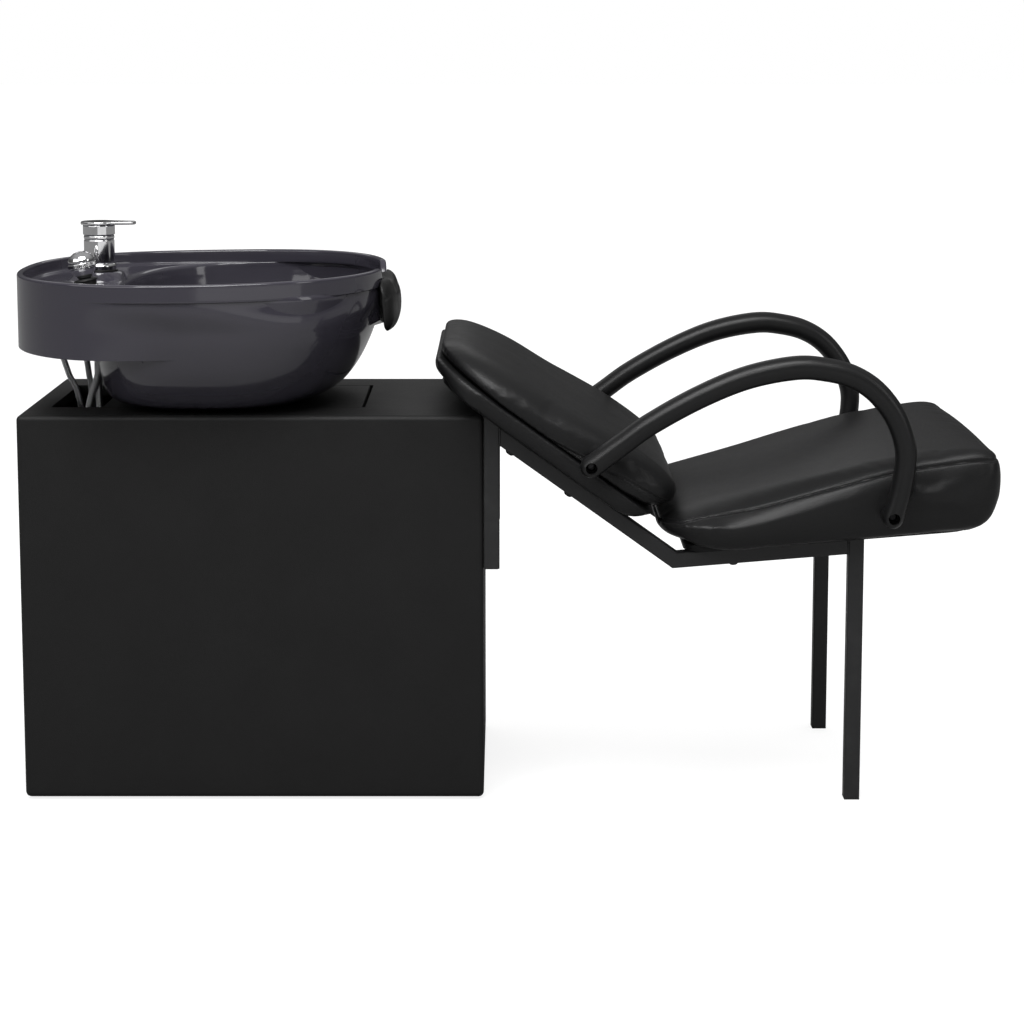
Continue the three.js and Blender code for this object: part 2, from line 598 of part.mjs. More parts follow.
function makeArms() {
  for (const [side, sign] of SIDES) {
    const y = sign * ARM.y;
    const curve = new THREE.CatmullRomCurve3(ARM_LINE.map(([x, z]) => new THREE.Vector3(x, y, z)));
    const section = new THREE.Shape();
    section.absellipse(0, 0, ARM.halfHeight, ARM.halfWidth, 0, 2 * Math.PI);
    const arm = new THREE.ExtrudeGeometry(section, { steps: 26, extrudePath: curve, curveSegments: 5 });
    let armSolid = solid(arm);
    const ends = [['rear', ARM_LINE[0]], ['front', ARM_LINE[ARM_LINE.length - 1]]];
    for (const [, [x, z]] of ends) {
      const from = Math.min(sign * (CHAIR_HALF_WIDTH + 1), sign * (ARM.y + 12));
      const to = Math.max(sign * (CHAIR_HALF_WIDTH + 1), sign * (ARM.y + 12));
      armSolid = armSolid.add(solid(crossCylinder(x, z, from, to, 15, 16)));
    }
    const outer = sign * (ARM.y + 25);
    const inner = sign * (ARM.y - 6);
    for (const [, [x, z]] of ends) {
      const recess = crossCylinder(x, z, Math.min(outer, inner), Math.max(outer, inner), 8.2, 16);
      armSolid = armSolid.subtract(solid(recess));
    }
    add(`armrest_${side}`, geometryOf(armSolid), ARM_SKIN);
    for (const [end, [x, z]] of ends) {
      const seatY = sign * (ARM.y - 5.7);
      const faceY = sign * (ARM.y - 1);
      const head = solid(crossCylinder(x, z, Math.min(seatY, faceY), Math.max(seatY, faceY), 7, 18))
        .subtract(solid(crossCylinder(x, z, sign * ARM.y - 3.4, sign * ARM.y + 3.4, 3, 6)));
      add(`arm_bolt_${end}_${side}`, geometryOf(head), ZINC);
    }
  }
}

makeCabinet();
makeTiltPlate();
makeBowl();
makeNeckRest();
makeWaste();
makeTap();
makeSpray();
makeSupplyHoses();
makeFrame();
makeFrameBolts();
makeChair();
makeArms();

export default unit;
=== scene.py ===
"""Shampoo backwash unit: wrapped cabinet, tilting basin with tap and spray, reclined chair."""
import math

import bmesh
import bpy
import numpy as np
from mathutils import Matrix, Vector


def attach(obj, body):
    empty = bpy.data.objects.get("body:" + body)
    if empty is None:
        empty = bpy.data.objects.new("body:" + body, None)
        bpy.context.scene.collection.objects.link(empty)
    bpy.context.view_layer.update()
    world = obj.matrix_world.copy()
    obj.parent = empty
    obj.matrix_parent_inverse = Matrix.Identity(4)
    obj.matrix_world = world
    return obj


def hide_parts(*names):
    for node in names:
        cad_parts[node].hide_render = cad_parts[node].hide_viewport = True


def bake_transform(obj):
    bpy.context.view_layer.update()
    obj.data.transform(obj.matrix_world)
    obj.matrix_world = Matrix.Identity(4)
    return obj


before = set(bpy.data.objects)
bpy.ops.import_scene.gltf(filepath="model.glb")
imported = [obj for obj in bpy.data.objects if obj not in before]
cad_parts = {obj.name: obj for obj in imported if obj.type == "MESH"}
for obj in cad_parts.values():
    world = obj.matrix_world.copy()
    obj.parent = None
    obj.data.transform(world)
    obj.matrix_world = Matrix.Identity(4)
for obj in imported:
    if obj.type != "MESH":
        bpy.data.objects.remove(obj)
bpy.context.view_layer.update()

MM = 0.001
SIDES = (("near", -1), ("far", 1))


def placed(name, data):
    """A new object in the scene."""
    made = bpy.data.objects.new(name, data)
    bpy.context.scene.collection.objects.link(made)
    return made


# ---- Camera, floor and light; metres ----
def make_camera():
    data = bpy.data.cameras.new("camera")
    data.sensor_width, data.lens = 36.0, 85.6
    data.shift_x, data.shift_y = 0.0074, -0.144
    camera = placed("camera", data)
    camera.location = (0.0135, -3.517, 1.0572)
    camera.rotation_euler = (math.radians(90.0 - 7.5), 0.0, 0.0)
    bpy.context.scene.camera = camera


def make_stage():
    """A wide floor just below the feet, which glows only for the camera so that it reads as white."""
    bpy.context.scene.view_settings.view_transform = "Standard"
    mesh = bpy.data.meshes.new("studio_floor")
    disc = bmesh.new()
    bmesh.ops.create_circle(disc, cap_ends=True, radius=60.0, segments=96)
    disc.to_mesh(mesh)
    disc.free()
    floor = placed("studio_floor", mesh)
    floor.location.z = -0.0005
    paint = bpy.data.materials.new("studio_floor")
    paint.use_nodes = True
    nodes, links = paint.node_tree.nodes, paint.node_tree.links
    surface = nodes["Principled BSDF"]
    for key, value in (("Roughness", 0.9), ("Specular IOR Level", 0.0),
                       ("Base Color", (0.25, 0.25, 0.25, 1.0)), ("Emission Color", (1.0, 1.0, 1.0, 1.0))):
        surface.inputs[key].default_value = value
    rays, glow = nodes.new("ShaderNodeLightPath"), nodes.new("ShaderNodeMath")
    glow.operation = "MULTIPLY"
    glow.inputs[1].default_value = 0.82
    links.new(rays.outputs["Is Camera Ray"], glow.inputs[0])
    links.new(glow.outputs[0], surface.inputs["Emission Strength"])
    mesh.materials.append(paint)


def make_world():
    """White to the camera; to everything else a dim room that gets lighter overhead."""
    world = bpy.data.worlds.new("studio")
    bpy.context.scene.world = world
    world.use_nodes = True
    nodes, links = world.node_tree.nodes, world.node_tree.links
    back = nodes["Background"]
    direction = nodes.new("ShaderNodeTexCoord")
    split = nodes.new("ShaderNodeSeparateXYZ")
    links.new(direction.outputs["Generated"], split.inputs[0])
    height = nodes.new("ShaderNodeMapRange")
    height.interpolation_type = "SMOOTHSTEP"
    links.new(split.outputs["Z"], height.inputs["Value"])
    for key, value in (("From Min", 0.05), ("From Max", 0.95), ("To Min", 0.065), ("To Max", 0.40)):
        height.inputs[key].default_value = value
    rays = nodes.new("ShaderNodeLightPath")
    seen = nodes.new("ShaderNodeMix")
    links.new(rays.outputs["Is Camera Ray"], seen.inputs["Factor"])
    links.new(height.outputs[0], seen.inputs["A"])
    seen.inputs["B"].default_value = 1.0
    links.new(seen.outputs["Result"], back.inputs["Strength"])
    back.inputs["Color"].default_value = (1.0, 1.0, 1.0, 1.0)


def softbox(name, location, target, size, power):
    data = bpy.data.lights.new(name, "AREA")
    data.shape = "RECTANGLE"
    data.size, data.size_y = size
    data.energy = power
    lamp = placed(name, data)
    lamp.location = location
    lamp.visible_camera = False
    aim = Vector(target) - Vector(location)
    lamp.rotation_euler = aim.to_track_quat("-Z", "Y").to_euler()


def make_overhead():
    """A very wide sun for even light from above, kept out of the glossy surfaces."""
    sky = bpy.data.lights.new("overhead", "SUN")
    sky.energy, sky.angle = 2.7, math.radians(70)
    overhead = placed("overhead", sky)
    overhead.rotation_euler = (math.radians(-8), math.radians(6), 0)
    overhead.visible_glossy = False


make_camera()
make_stage()
make_world()
make_overhead()
softbox("softbox_front", (-0.7, -2.6, 2.6), (-0.2, 0.0, 0.55), (2.0, 1.0), 40)
softbox("softbox_top", (-0.2, -1.5, 3.0), (0.0, -0.1, 0.5), (2.4, 0.9), 60)
softbox("softbox_left", (-2.4, -1.9, 1.75), (-0.3, 0.0, 0.65), (2.6, 1.2), 20)
softbox("panel_low", (1.4, -3.0, 0.45), (0.1, 0.0, 0.45), (4.4, 0.8), 6.0)
softbox("softbox_right", (3.0, -1.6, 1.9), (0.3, 0.0, 0.45), (0.9, 1.8), 12)
softbox("softbox_rear", (-0.6, 3.0, 2.2), (0.0, 0.0, 0.5), (2.6, 0.8), 5)


# ---- Materials ----
class Shader:
    """A Principled material with texture helpers; object coordinates are metres in the row frame."""

    def __init__(self, name, colour, roughness, metallic=0.0, specular=0.5):
        self.material = bpy.data.materials.new(name)
        self.material.use_nodes = True
        tree = self.material.node_tree
        self.nodes, self.links = tree.nodes, tree.links
        self.surface = self.nodes["Principled BSDF"]
        self.surface.inputs["Metallic"].default_value = metallic
        self.surface.inputs["Specular IOR Level"].default_value = specular
        self.colour = colour
        self.roughness = roughness
        self.place = self.nodes.new("ShaderNodeTexCoord").outputs["Object"]
        self.normal = None

    def node(self, kind, **values):
        """A node with its inputs set or linked by name, or by number as i0, i1 and so on."""
        made = self.nodes.new(kind)
        for key, value in values.items():
            target = made.inputs[int(key[1:])] if key[0] == "i" and key[1:].isdigit() else made.inputs[key]
            if isinstance(value, bpy.types.NodeSocket):
                self.links.new(value, target)
            else:
                target.default_value = value
        return made

    def math(self, operation, a, b=0.0, c=0.0):
        made = self.node("ShaderNodeMath", i0=a, i1=b, i2=c)
        made.operation = operation
        return made.outputs[0]

    def stretched(self, scale):
        made = self.node("ShaderNodeMapping", Vector=self.place)
        made.inputs["Scale"].default_value = scale
        return made.outputs[0]

    def noise(self, size, detail=3.0, rough=0.55, place=None):
        """Noise whose features are about size metres across."""
        made = self.node("ShaderNodeTexNoise", Vector=place or self.place, Scale=1.0 / size,
                         Detail=detail, Roughness=rough)
        return made.outputs["Fac"]

    def cells(self, size, feature="F1", place=None):
        made = self.node("ShaderNodeTexVoronoi", Vector=place or self.place, Scale=1.0 / size)
        made.feature = feature
        return made.outputs["Distance"]

    def ranged(self, value, low, high, to_low, to_high):
        limits = {"From Min": low, "From Max": high, "To Min": to_low, "To Max": to_high}
        return self.node("ShaderNodeMapRange", Value=value, **limits).outputs[0]

    def mixed(self, factor, a, b):
        made = self.nodes.new("ShaderNodeMix")
        made.data_type = "RGBA"
        self.links.new(factor, made.inputs["Factor"])
        for socket, value in ((made.inputs[6], a), (made.inputs[7], b)):
            if isinstance(value, bpy.types.NodeSocket):
                self.links.new(value, socket)
            else:
                socket.default_value = (*value, 1.0)
        return made.outputs[2]

    def bump(self, height, distance, strength=1.0):
        made = self.node("ShaderNodeBump", Height=height, Strength=strength, Distance=distance)
        if self.normal is not None:
            self.links.new(self.normal, made.inputs["Normal"])
        self.normal = made.outputs[0]

    def done(self, colour=None, roughness=None):
        for key, value, plain in (("Base Color", colour, (*self.colour, 1.0)),
                                  ("Roughness", roughness, self.roughness)):
            if value is None:
                self.surface.inputs[key].default_value = plain
            else:
                self.links.new(value, self.surface.inputs[key])
        if self.normal is not None:
            self.links.new(self.normal, self.surface.inputs["Normal"])
        return self.material


def leather_material(name, colour, grain, depth, roughness, specular, seams=False):
    """Black coated leather: pebbled grain, fine pores, slow creases, and seams where a mesh carries them."""
    s = Shader(name, colour, roughness, specular=specular)
    warp = s.node("ShaderNodeTexNoise", Vector=s.place, Scale=1.0 / (grain * 3), Detail=2.0)
    moved = s.node("ShaderNodeVectorMath", i0=warp.outputs["Color"], i1=(grain * 0.9,) * 3)
    moved.operation = "MULTIPLY"
    shifted = s.node("ShaderNodeVectorMath", i0=s.place, i1=moved.outputs[0])
    shifted.operation = "ADD"
    pebble = s.cells(grain, "F1", shifted.outputs[0])
    pores = s.noise(grain * 0.35, 2.0)
    slow = s.noise(0.09, 3.0)
    s.bump(s.noise(0.03, 4.0), 0.0006, 0.25)
    s.bump(pebble, depth, 0.55)
    s.bump(pores, depth * 0.35, 0.4)
    wear = s.math("ADD", pebble, s.math("MULTIPLY", slow, 0.8))
    rough = s.ranged(wear, 0.2, 1.3, roughness - 0.06, roughness + 0.1)
    shade = s.mixed(s.ranged(slow, 0.3, 0.7, 0.0, 1.0), colour, tuple(c * 1.12 for c in colour))
    if seams:
        near, along = (s.nodes.new("ShaderNodeAttribute") for _ in range(2))
        near.attribute_name, along.attribute_name = "seam_distance", "seam_along"
        groove = s.ranged(near.outputs["Fac"], 0.0, 0.0022, 0.0, 1.0)
        s.bump(groove, 0.0012, 0.9)
        offset = s.math("ABSOLUTE", s.math("SUBTRACT", near.outputs["Fac"], 0.0042))
        track = s.ranged(offset, 0.0003, 0.0007, 1.0, 0.0)
        phase = s.math("FRACT", s.math("MULTIPLY", along.outputs["Fac"], 1.0 / 0.0046))
        dash = s.ranged(s.math("ABSOLUTE", s.math("SUBTRACT", phase, 0.5)), 0.3, 0.38, 1.0, 0.0)
        stitch = s.math("MULTIPLY", track, dash)
        s.bump(stitch, 0.0005, 0.8)
        shade = s.mixed(stitch, shade, tuple(c * 2.4 for c in colour))
    return s.done(shade, rough)


def gloss_material():
    s = Shader("bowl_abs", (0.030, 0.028, 0.037), 0.09, specular=0.6)
    smudge = s.noise(0.05, 4.0)
    scratch = s.noise(0.0016, 1.0, place=s.stretched((1.0, 0.06, 1.0)))
    s.bump(s.noise(0.012, 1.0), 0.00012, 0.35)
    s.bump(scratch, 0.00002, 0.25)
    shade = s.mixed(s.ranged(s.noise(0.2, 2.0), 0.3, 0.7, 0.0, 1.0), s.colour, (0.034, 0.032, 0.041))
    return s.done(shade, s.ranged(smudge, 0.3, 0.75, 0.06, 0.16))


def rubber_material(name, colour, roughness):
    s = Shader(name, colour, roughness, specular=0.3)
    s.bump(s.noise(0.0009, 3.0), 0.00012, 0.5)
    s.bump(s.noise(0.006, 2.0), 0.0002, 0.25)
    dust = s.noise(0.03, 5.0)
    shade = s.mixed(s.ranged(dust, 0.45, 0.8, 0.0, 0.5), colour, tuple(c * 1.9 for c in colour))
    return s.done(shade, s.ranged(dust, 0.3, 0.7, roughness - 0.08, roughness + 0.08))


def metal_material(name, colour, roughness, brushed=False):
    s = Shader(name, colour, roughness, metallic=1.0)
    marks = s.noise(0.02, 5.0)
    if brushed:
        s.bump(s.noise(0.0006, 2.0, place=s.stretched((1.0, 1.0, 0.08))), 0.00004, 0.5)
    s.bump(s.noise(0.004, 2.0), 0.00003, 0.2)
    shade = s.mixed(s.ranged(marks, 0.35, 0.75, 0.0, 1.0), colour, tuple(c * 0.86 for c in colour))
    return s.done(shade, s.ranged(marks, 0.3, 0.75, roughness * 0.75, roughness * 1.7))


def powder_material():
    s = Shader("frame_steel", (0.014, 0.014, 0.0145), 0.42, metallic=0.0, specular=0.36)
    s.bump(s.noise(0.0013, 2.0), 0.00012, 0.55)
    s.bump(s.cells(0.0007), 0.00004, 0.4)
    worn = s.noise(0.025, 5.0)
    shade = s.mixed(s.ranged(worn, 0.5, 0.85, 0.0, 1.0), s.colour, (0.022, 0.022, 0.0225))
    return s.done(shade, s.ranged(worn, 0.3, 0.8, 0.36, 0.5))


def braid_material():
    """Stainless over-braid: flat strands crossing at a shallow angle, from the tube's own UV, with painted
    shade in the valleys between them.
    """
    s = Shader("braided_steel", (0.62, 0.62, 0.63), 0.24, metallic=1.0)
    uv = s.nodes.new("ShaderNodeUVMap")
    uv.uv_map = "braid"
    split = s.node("ShaderNodeSeparateXYZ", i0=uv.outputs[0])
    turns = s.math("MULTIPLY", split.outputs["X"], 8.0)
    pitch = s.math("MULTIPLY", split.outputs["Y"], 1.0 / 0.0042)
    waves = []
    for sign in (1.0, -1.0):
        phase = s.math("MULTIPLY", s.math("ADD", turns, s.math("MULTIPLY", pitch, sign)), 2 * math.pi)
        waves.append(s.math("SINE", phase))
    over = s.math("MAXIMUM", waves[0], waves[1])
    s.bump(over, 0.0005, 0.9)
    # Painted shade: the steel's colour is darkened in the valleys between the strands, where the weave would
    # be in shade.
    painted_valley_shade = s.ranged(over, -0.4, 0.7, 0.0, 1.0)
    shade = s.mixed(painted_valley_shade, (0.1, 0.1, 0.11), s.colour)
    return s.done(shade, s.ranged(over, -0.5, 1.0, 0.5, 0.2))


def plywood_material(name, normal):
    """Plywood stained black; normal is the way its plies are stacked."""
    s = Shader(name, (0.010, 0.009, 0.008), 0.6, specular=0.3)
    grain = s.noise(0.004, 4.0, place=s.stretched((0.05, 1.0, 1.0)))
    figure = s.noise(0.05, 3.0, place=s.stretched((0.2, 1.0, 1.0)))
    across = s.node("ShaderNodeVectorMath", i0=s.place, i1=normal)
    across.operation = "DOT_PRODUCT"
    plies = s.math("SINE", s.math("MULTIPLY", across.outputs["Value"], 2 * math.pi / 0.0032))
    shade = s.mixed(grain, s.colour, (0.022, 0.019, 0.016))
    shade = s.mixed(s.ranged(plies, -0.2, 0.2, 0.0, 0.6), shade, (0.006, 0.005, 0.005))
    s.bump(grain, 0.0002, 0.5)
    return s.done(shade, s.ranged(figure, 0.3, 0.7, 0.5, 0.7))


WRAP = leather_material("cabinet_wrap", (0.0098, 0.0098, 0.0099), 0.0011, 0.00016, 0.46, 0.16)
LEATHER = leather_material("faux_leather", (0.0055, 0.0055, 0.0057), 0.0015, 0.0002, 0.34, 0.26, seams=True)
WRAP_EDGE = leather_material("turned_leather", (0.0055, 0.0055, 0.0057), 0.0015, 0.0002, 0.4, 0.2)
ARM_SKIN = leather_material("arm_skin", (0.005, 0.005, 0.0052), 0.0008, 0.0001, 0.3, 0.3)
ABS = gloss_material()
RUBBER = rubber_material("rubber", (0.006, 0.006, 0.006), 0.45)
HOSE_RUBBER = rubber_material("hose_rubber", (0.010, 0.010, 0.010), 0.5)
CHROME = metal_material("chrome", (0.82, 0.82, 0.83), 0.06)
ZINC = metal_material("zinc", (0.5, 0.5, 0.5), 0.3, brushed=True)
BLACK_ZINC = metal_material("black_zinc", (0.05, 0.05, 0.052), 0.34)
STEEL = powder_material()
BRAID = braid_material()


# ---- Mesh making; every length below this line is in millimetres unless a name says otherwise ----
def mesh_from(name, verts_mm, faces):
    """A mesh whose faces all look outwards."""
    mesh = bpy.data.meshes.new(name)
    mesh.from_pydata((np.asarray(verts_mm, float) * MM).tolist(), [], [list(map(int, f)) for f in faces])
    mesh.validate()
    work = bmesh.new()
    work.from_mesh(mesh)
    bmesh.ops.recalc_face_normals(work, faces=work.faces)
    work.to_mesh(mesh)
    work.free()
    return mesh


def tool(name, verts_mm, faces):
    """An object to cut with, or one that is still to be worked on before it is a piece."""
    return placed(name, mesh_from(name, verts_mm, faces))


def smooth(obj, sharp=None, weighted=False):
    """Smooth shading that keeps creases from sharp degrees up, and keeps large faces flat when weighted."""
    mesh = obj.data
    mesh.polygons.foreach_set("use_smooth", [True] * len(mesh.polygons))
    if sharp:
        mesh.set_sharp_from_angle(angle=math.radians(sharp))
    if weighted:
        obj.modifiers.new("even_shading", "WEIGHTED_NORMAL").keep_sharp = True


def dressed(obj, material, body, nodes=()):
    """Gives an object its material and its body, and hides the CAD nodes it stands for."""
    obj.data.materials.clear()
    obj.data.materials.append(material)
    if body:
        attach(obj, body)
    if nodes:
        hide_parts(*nodes)
    return obj


def piece(name, verts_mm, faces, material, body, slot, nodes=(), sharp=None, weighted=False):
    """A finished mesh piece."""
    made = tool(name, verts_mm, faces)
    smooth(made, sharp, weighted)
    return dressed(made, material, body, nodes)


def skin(rings, ends="cap"):
    """Vertices and faces through rings of equal counts, closed with caps or joined end to start."""
    rings = np.asarray(rings, float)
    levels, count = rings.shape[:2]
    faces = []
    for level in range(levels if ends == "join" else levels - 1):
        a0, b0 = level * count, (level + 1) % levels * count
        for i in range(count):
            j = (i + 1) % count
            faces.append((a0 + i, a0 + j, b0 + j, b0 + i))
    if ends == "cap":
        faces.append(tuple(range(count - 1, -1, -1)))
        faces.append(tuple((levels - 1) * count + i for i in range(count)))
    return rings.reshape(-1, 3), faces


def softened(points, radius, steps=4, closed=False):
    """A polyline with each corner replaced by a curve that starts radius away, or nearer on short sides."""
    points = [np.asarray(p, float) for p in points]
    out = []
    count = len(points)
    for i, p in enumerate(points):
        if not closed and i in (0, count - 1):
            out.append(p)
            continue
        a, b = points[i - 1], points[(i + 1) % count]
        la, lb = np.linalg.norm(a - p), np.linalg.norm(b - p)
        pa = p + (a - p) / max(la, 1e-9) * min(radius, la * 0.45)
        pb = p + (b - p) / max(lb, 1e-9) * min(radius, lb * 0.45)
        for t in np.linspace(0, 1, steps + 1):
            out.append((1 - t) ** 2 * pa + 2 * t * (1 - t) * p + t * t * pb)
    return np.array(out)


def spline(points, count, closed=False):
    """Catmull-Rom through the points."""
    points = np.asarray(points, float)
    n = len(points)
    spans = n if closed else n - 1
    t = np.linspace(0, spans, count, endpoint=not closed)
    i = np.minimum(t.astype(int), spans - 1)
    f = (t - i)[:, None]
    if closed:
        p0, p1, p2, p3 = (points[(i + k) % n] for k in (-1, 0, 1, 2))
    else:
        first, last = 2 * points[0] - points[1], 2 * points[-1] - points[-2]
        padded = np.vstack([first, points, last])
        p0, p1, p2, p3 = (padded[i + k] for k in (0, 1, 2, 3))
    return 0.5 * (2 * p1 + (p2 - p0) * f + (2 * p0 - 5 * p1 + 4 * p2 - p3) * f ** 2
                  + (3 * p1 - p0 - 3 * p2 + p3) * f ** 3)


def even(points, count):
    """The same line with evenly spaced points."""
    points = np.asarray(points, float)
    run = np.concatenate([[0], np.cumsum(np.linalg.norm(np.diff(points, axis=0), axis=1))])
    at = np.linspace(0, run[-1], count)
    return np.stack([np.interp(at, run, points[:, k]) for k in range(points.shape[1])], 1)


def smoothstep(v, low, high):
    t = np.clip((np.asarray(v, float) - low) / (high - low), 0, 1)
    return t * t * (3 - 2 * t)


def once_round(count):
    """Angles evenly round a circle."""
    return np.linspace(0, 2 * math.pi, count, endpoint=False)


def disc(radius, z, count=64):
    """A level ring of points; radius is one number or one for each point."""
    angle = once_round(count)
    return np.stack([radius * np.cos(angle), radius * np.sin(angle), np.full(count, z)], 1)


def turned(profile, x=0.0, y=0.0, segments=96, radius=1.0, ripple=None, lean=None):
    """Rings of a turned piece from [radius, z] corners; ripple(angle, r, z) changes the radius."""
    line = softened(profile, radius) if radius else np.asarray(profile, float)
    rings = []
    for r, z in line:
        r = max(r, 0.02)
        rings.append(disc(r if ripple is None else ripple(once_round(segments), r, z), z, segments))
    rings = np.array(rings)
    return rings + np.array([x, y, 0.0]) if lean is None else lean(rings)


def turned_piece(name, profile, material, body, slot, nodes, x=0.0, y=0.0, segments=96, radius=1.0,
                 ripple=None, lean=None):
    """A turned piece; a profile that ends where it starts makes a ring, any other is closed with caps."""
    if np.allclose(profile[0], profile[-1]):
        rings = turned(softened(profile[:-1], radius, closed=True), x, y, segments, 0, ripple, lean)
        verts, faces = skin(rings, "join")
    else:
        verts, faces = skin(turned(profile, x, y, segments, radius, ripple, lean))
    return piece(name, verts, faces, material, body, slot, nodes, sharp=32, weighted=True)


def hexagon(angle, across):
    """The radius of a hexagon that is across flats wide, at each angle."""
    return across / 2 / np.cos(np.mod(angle, math.pi / 3) - math.pi / 6)


def frames_along(path, up):
    """Two unit normals at each point of a path, kept from twisting."""
    tangent = np.gradient(path, axis=0)
    tangent /= np.linalg.norm(tangent, axis=1)[:, None]
    first = np.asarray(up, float)
    sides, ups = [], []
    for t in tangent:
        first = first - t * first.dot(t)
        first /= np.linalg.norm(first)
        ups.append(first.copy())
        sides.append(np.cross(t, first))
    return np.array(ups), np.array(sides)


def tube_rings(path, radius, around=24, up=(0, 1, 0)):
    ups, sides = frames_along(path, up)
    angle = once_round(around)
    radius = np.broadcast_to(radius, (len(path),))
    ring = (np.cos(angle)[None, :, None] * ups[:, None] + np.sin(angle)[None, :, None] * sides[:, None])
    return path[:, None] + ring * radius[:, None, None]


def add_braid_uv(obj, levels, around, length_m):
    """UV on a tube: turns round it, and metres along it."""
    layer = obj.data.uv_layers.new(name="braid")
    uv = np.zeros((len(obj.data.loops), 2))
    index = np.zeros(len(obj.data.loops), int)
    obj.data.loops.foreach_get("vertex_index", index)
    uv[:, 0] = index % around / around
    uv[:, 1] = index // around / (levels - 1) * length_m
    for face in obj.data.polygons:
        if face.loop_total == 4:
            own = slice(face.loop_start, face.loop_start + 4)
            u = uv[own, 0]
            if u.max() - u.min() > 0.5:
                uv[own, 0] = np.where(u < 0.5, u + 1.0, u)
    layer.data.foreach_set("uv", uv.ravel())


def applied(obj):
    """Replaces an object's mesh by what its modifiers make of it."""
    graph = bpy.context.evaluated_depsgraph_get()
    made = bpy.data.meshes.new_from_object(obj.evaluated_get(graph))
    obj.modifiers.clear()
    obj.data = made
    return obj


def cut(obj, cutters, operation="DIFFERENCE"):
    """Takes the cutters from an object, or adds them to it, and uses them up."""
    for cutter in cutters:
        mod = obj.modifiers.new("cut", "BOOLEAN")
        mod.operation, mod.object, mod.solver = operation, cutter, "EXACT"
    applied(obj)
    for cutter in cutters:
        bpy.data.objects.remove(cutter)
    return obj


def join(objects):
    """One object from several plain meshes in the same frame."""
    work = bmesh.new()
    for o in objects:
        work.from_mesh(o.data)
    work.to_mesh(objects[0].data)
    work.free()
    for o in objects[1:]:
        bpy.data.objects.remove(o)
    return objects[0]


def upright_rod(radius, z0, z1, x=0.0, y=0.0, sides=64, place=None):
    """A cutting rod along Z, or where place puts it."""
    verts, faces = skin(np.array([disc(radius, z, sides) for z in (z0, z1)]))
    return tool("rod", verts + [x, y, 0.0] if place is None else place(verts), faces)


def crosswise_rod(radius, y0, y1, x, z, sides):
    """A cutting rod along Y."""
    rings = np.array([disc(radius, y, sides)[:, [0, 2, 1]] for y in (y0, y1)])
    verts, faces = skin(rings)
    return tool("rod", verts + [x, 0.0, z], faces)


# ---- Bowl: one skin from the underside, up the outside, over the rim and down the inside ----
RIM = dict(centre=-425.0, a=267.5, b=288.0, rear=10.0)  # rear: how much shorter the rear end is
RIM_POWER = 2.4
WALL = 9.0              # thickness of the rim
CREST = 734.0           # where the rim's top starts to round over
ROUND = 3.4             # the radius of that rounding
RIM_TOP = 736.0         # nominal height, before the rise towards the neck
DECK_Z = 718.0
FOOT_Z = 548.5
FLOOR_Z = 554.5
BODY_REAR, BASIN_REAR = 3.4, 2.8   # how square the rear of the body and of the basin is
ANGLES = once_round(384) + math.pi / 384
BODY = np.array([  # z, rear x, front x, half width
    [548.5, -497, -297, 135], [553, -528, -268, 165], [563, -548, -240, 195], [580, -557, -216, 222],
    [610, -560, -194, 250], [650, -560, -176, 268], [690, -560, -166, 277], [715, -560, -160, 281]])
INSIDE = np.array([
    [554.5, -492, -300, 131], [558.5, -513, -272, 160], [568, -515, -246, 189], [586, -517, -222, 216],
    [612, -521, -200, 244], [650, -525, -182, 262], [690, -530, -172.5, 270], [712, -532.5, -168.6, 272.5]])
TAP_X, TAP_TOP = -573.0, 731.0
SPRAY_FOOT, SPRAY_LEAN = np.array([-580.0, -72.0, 718.0]), -0.2
WASTE_X, WASTE_HOLE = -430.0, 21.5


def signed_power(v, power):
    return np.sign(v) * np.abs(v) ** power


def oval(x0, x1, b, z, rear=RIM_POWER):
    """A level superellipse from x0 to x1 and b to each side, with a squarer rear if asked for."""
    c, s = np.cos(ANGLES), np.sin(ANGLES)
    power = 2.0 / np.where(c < 0, rear, RIM_POWER)
    x = (x0 + x1) / 2 + signed_power(c, power) * (x1 - x0) / 2
    return np.stack([x, signed_power(s, power) * b, np.broadcast_to(z, c.shape) * 1.0], 1)


def rim_ring(inset, z):
    """The rim's outline, drawn in by inset."""
    c, a, b = RIM["centre"], RIM["a"] - inset, RIM["b"] - inset
    return oval(c - a + RIM["rear"], c + a, b, z)


def section_ring(table, z, rear):
    """The ring of a table of sections at height z, which may differ round the ring."""
    dense = spline(table, 400)
    z = np.broadcast_to(z, ANGLES.shape) * 1.0
    x0, x1, b = (np.interp(z, dense[:, 0], dense[:, k]) for k in (1, 2, 3))
    return oval(x0, x1, b, z, rear)


def wall_ring(z, inset=0.0):
    """The skirt round the deck: the rim's outline at the rear, drawn in to the body's towards the front.

    Under the neck rest a flange stands out to the rim again, and the top tucks in under the rim.
    """
    rim = rim_ring(inset, z)
    body = section_ring(BODY, z, BODY_REAR)
    tuck = smoothstep(z, 668, 711)
    body = body * (1 - tuck) + rim_ring(2.6, z) * tuck
    flange = smoothstep(z, 661, 665.5) * (1 - smoothstep(np.abs(rim[:, 1]), 78, 100)) * (rim[:, 0] > -300)
    body[:, 0] += (rim[:, 0] - 1.6 - body[:, 0]) * flange
    share = (1 - smoothstep(rim[:, 0], -572, -470))[:, None]
    ring = rim * share + body * (1 - share)
    if inset:
        ring[:, :2] = wall_ring(z)[:, :2] + (rim - rim_ring(0, z))[:, :2]
    ring[:, 2] = z
    return ring


def circle_ring(radius, z):
    """A circle about the waste, with as many points as the other rings."""
    return np.stack([WASTE_X + radius * np.cos(ANGLES), radius * np.sin(ANGLES), np.full(ANGLES.shape, z)], 1)


def blended(a, b, f):
    return a * (1 - f) + b * f


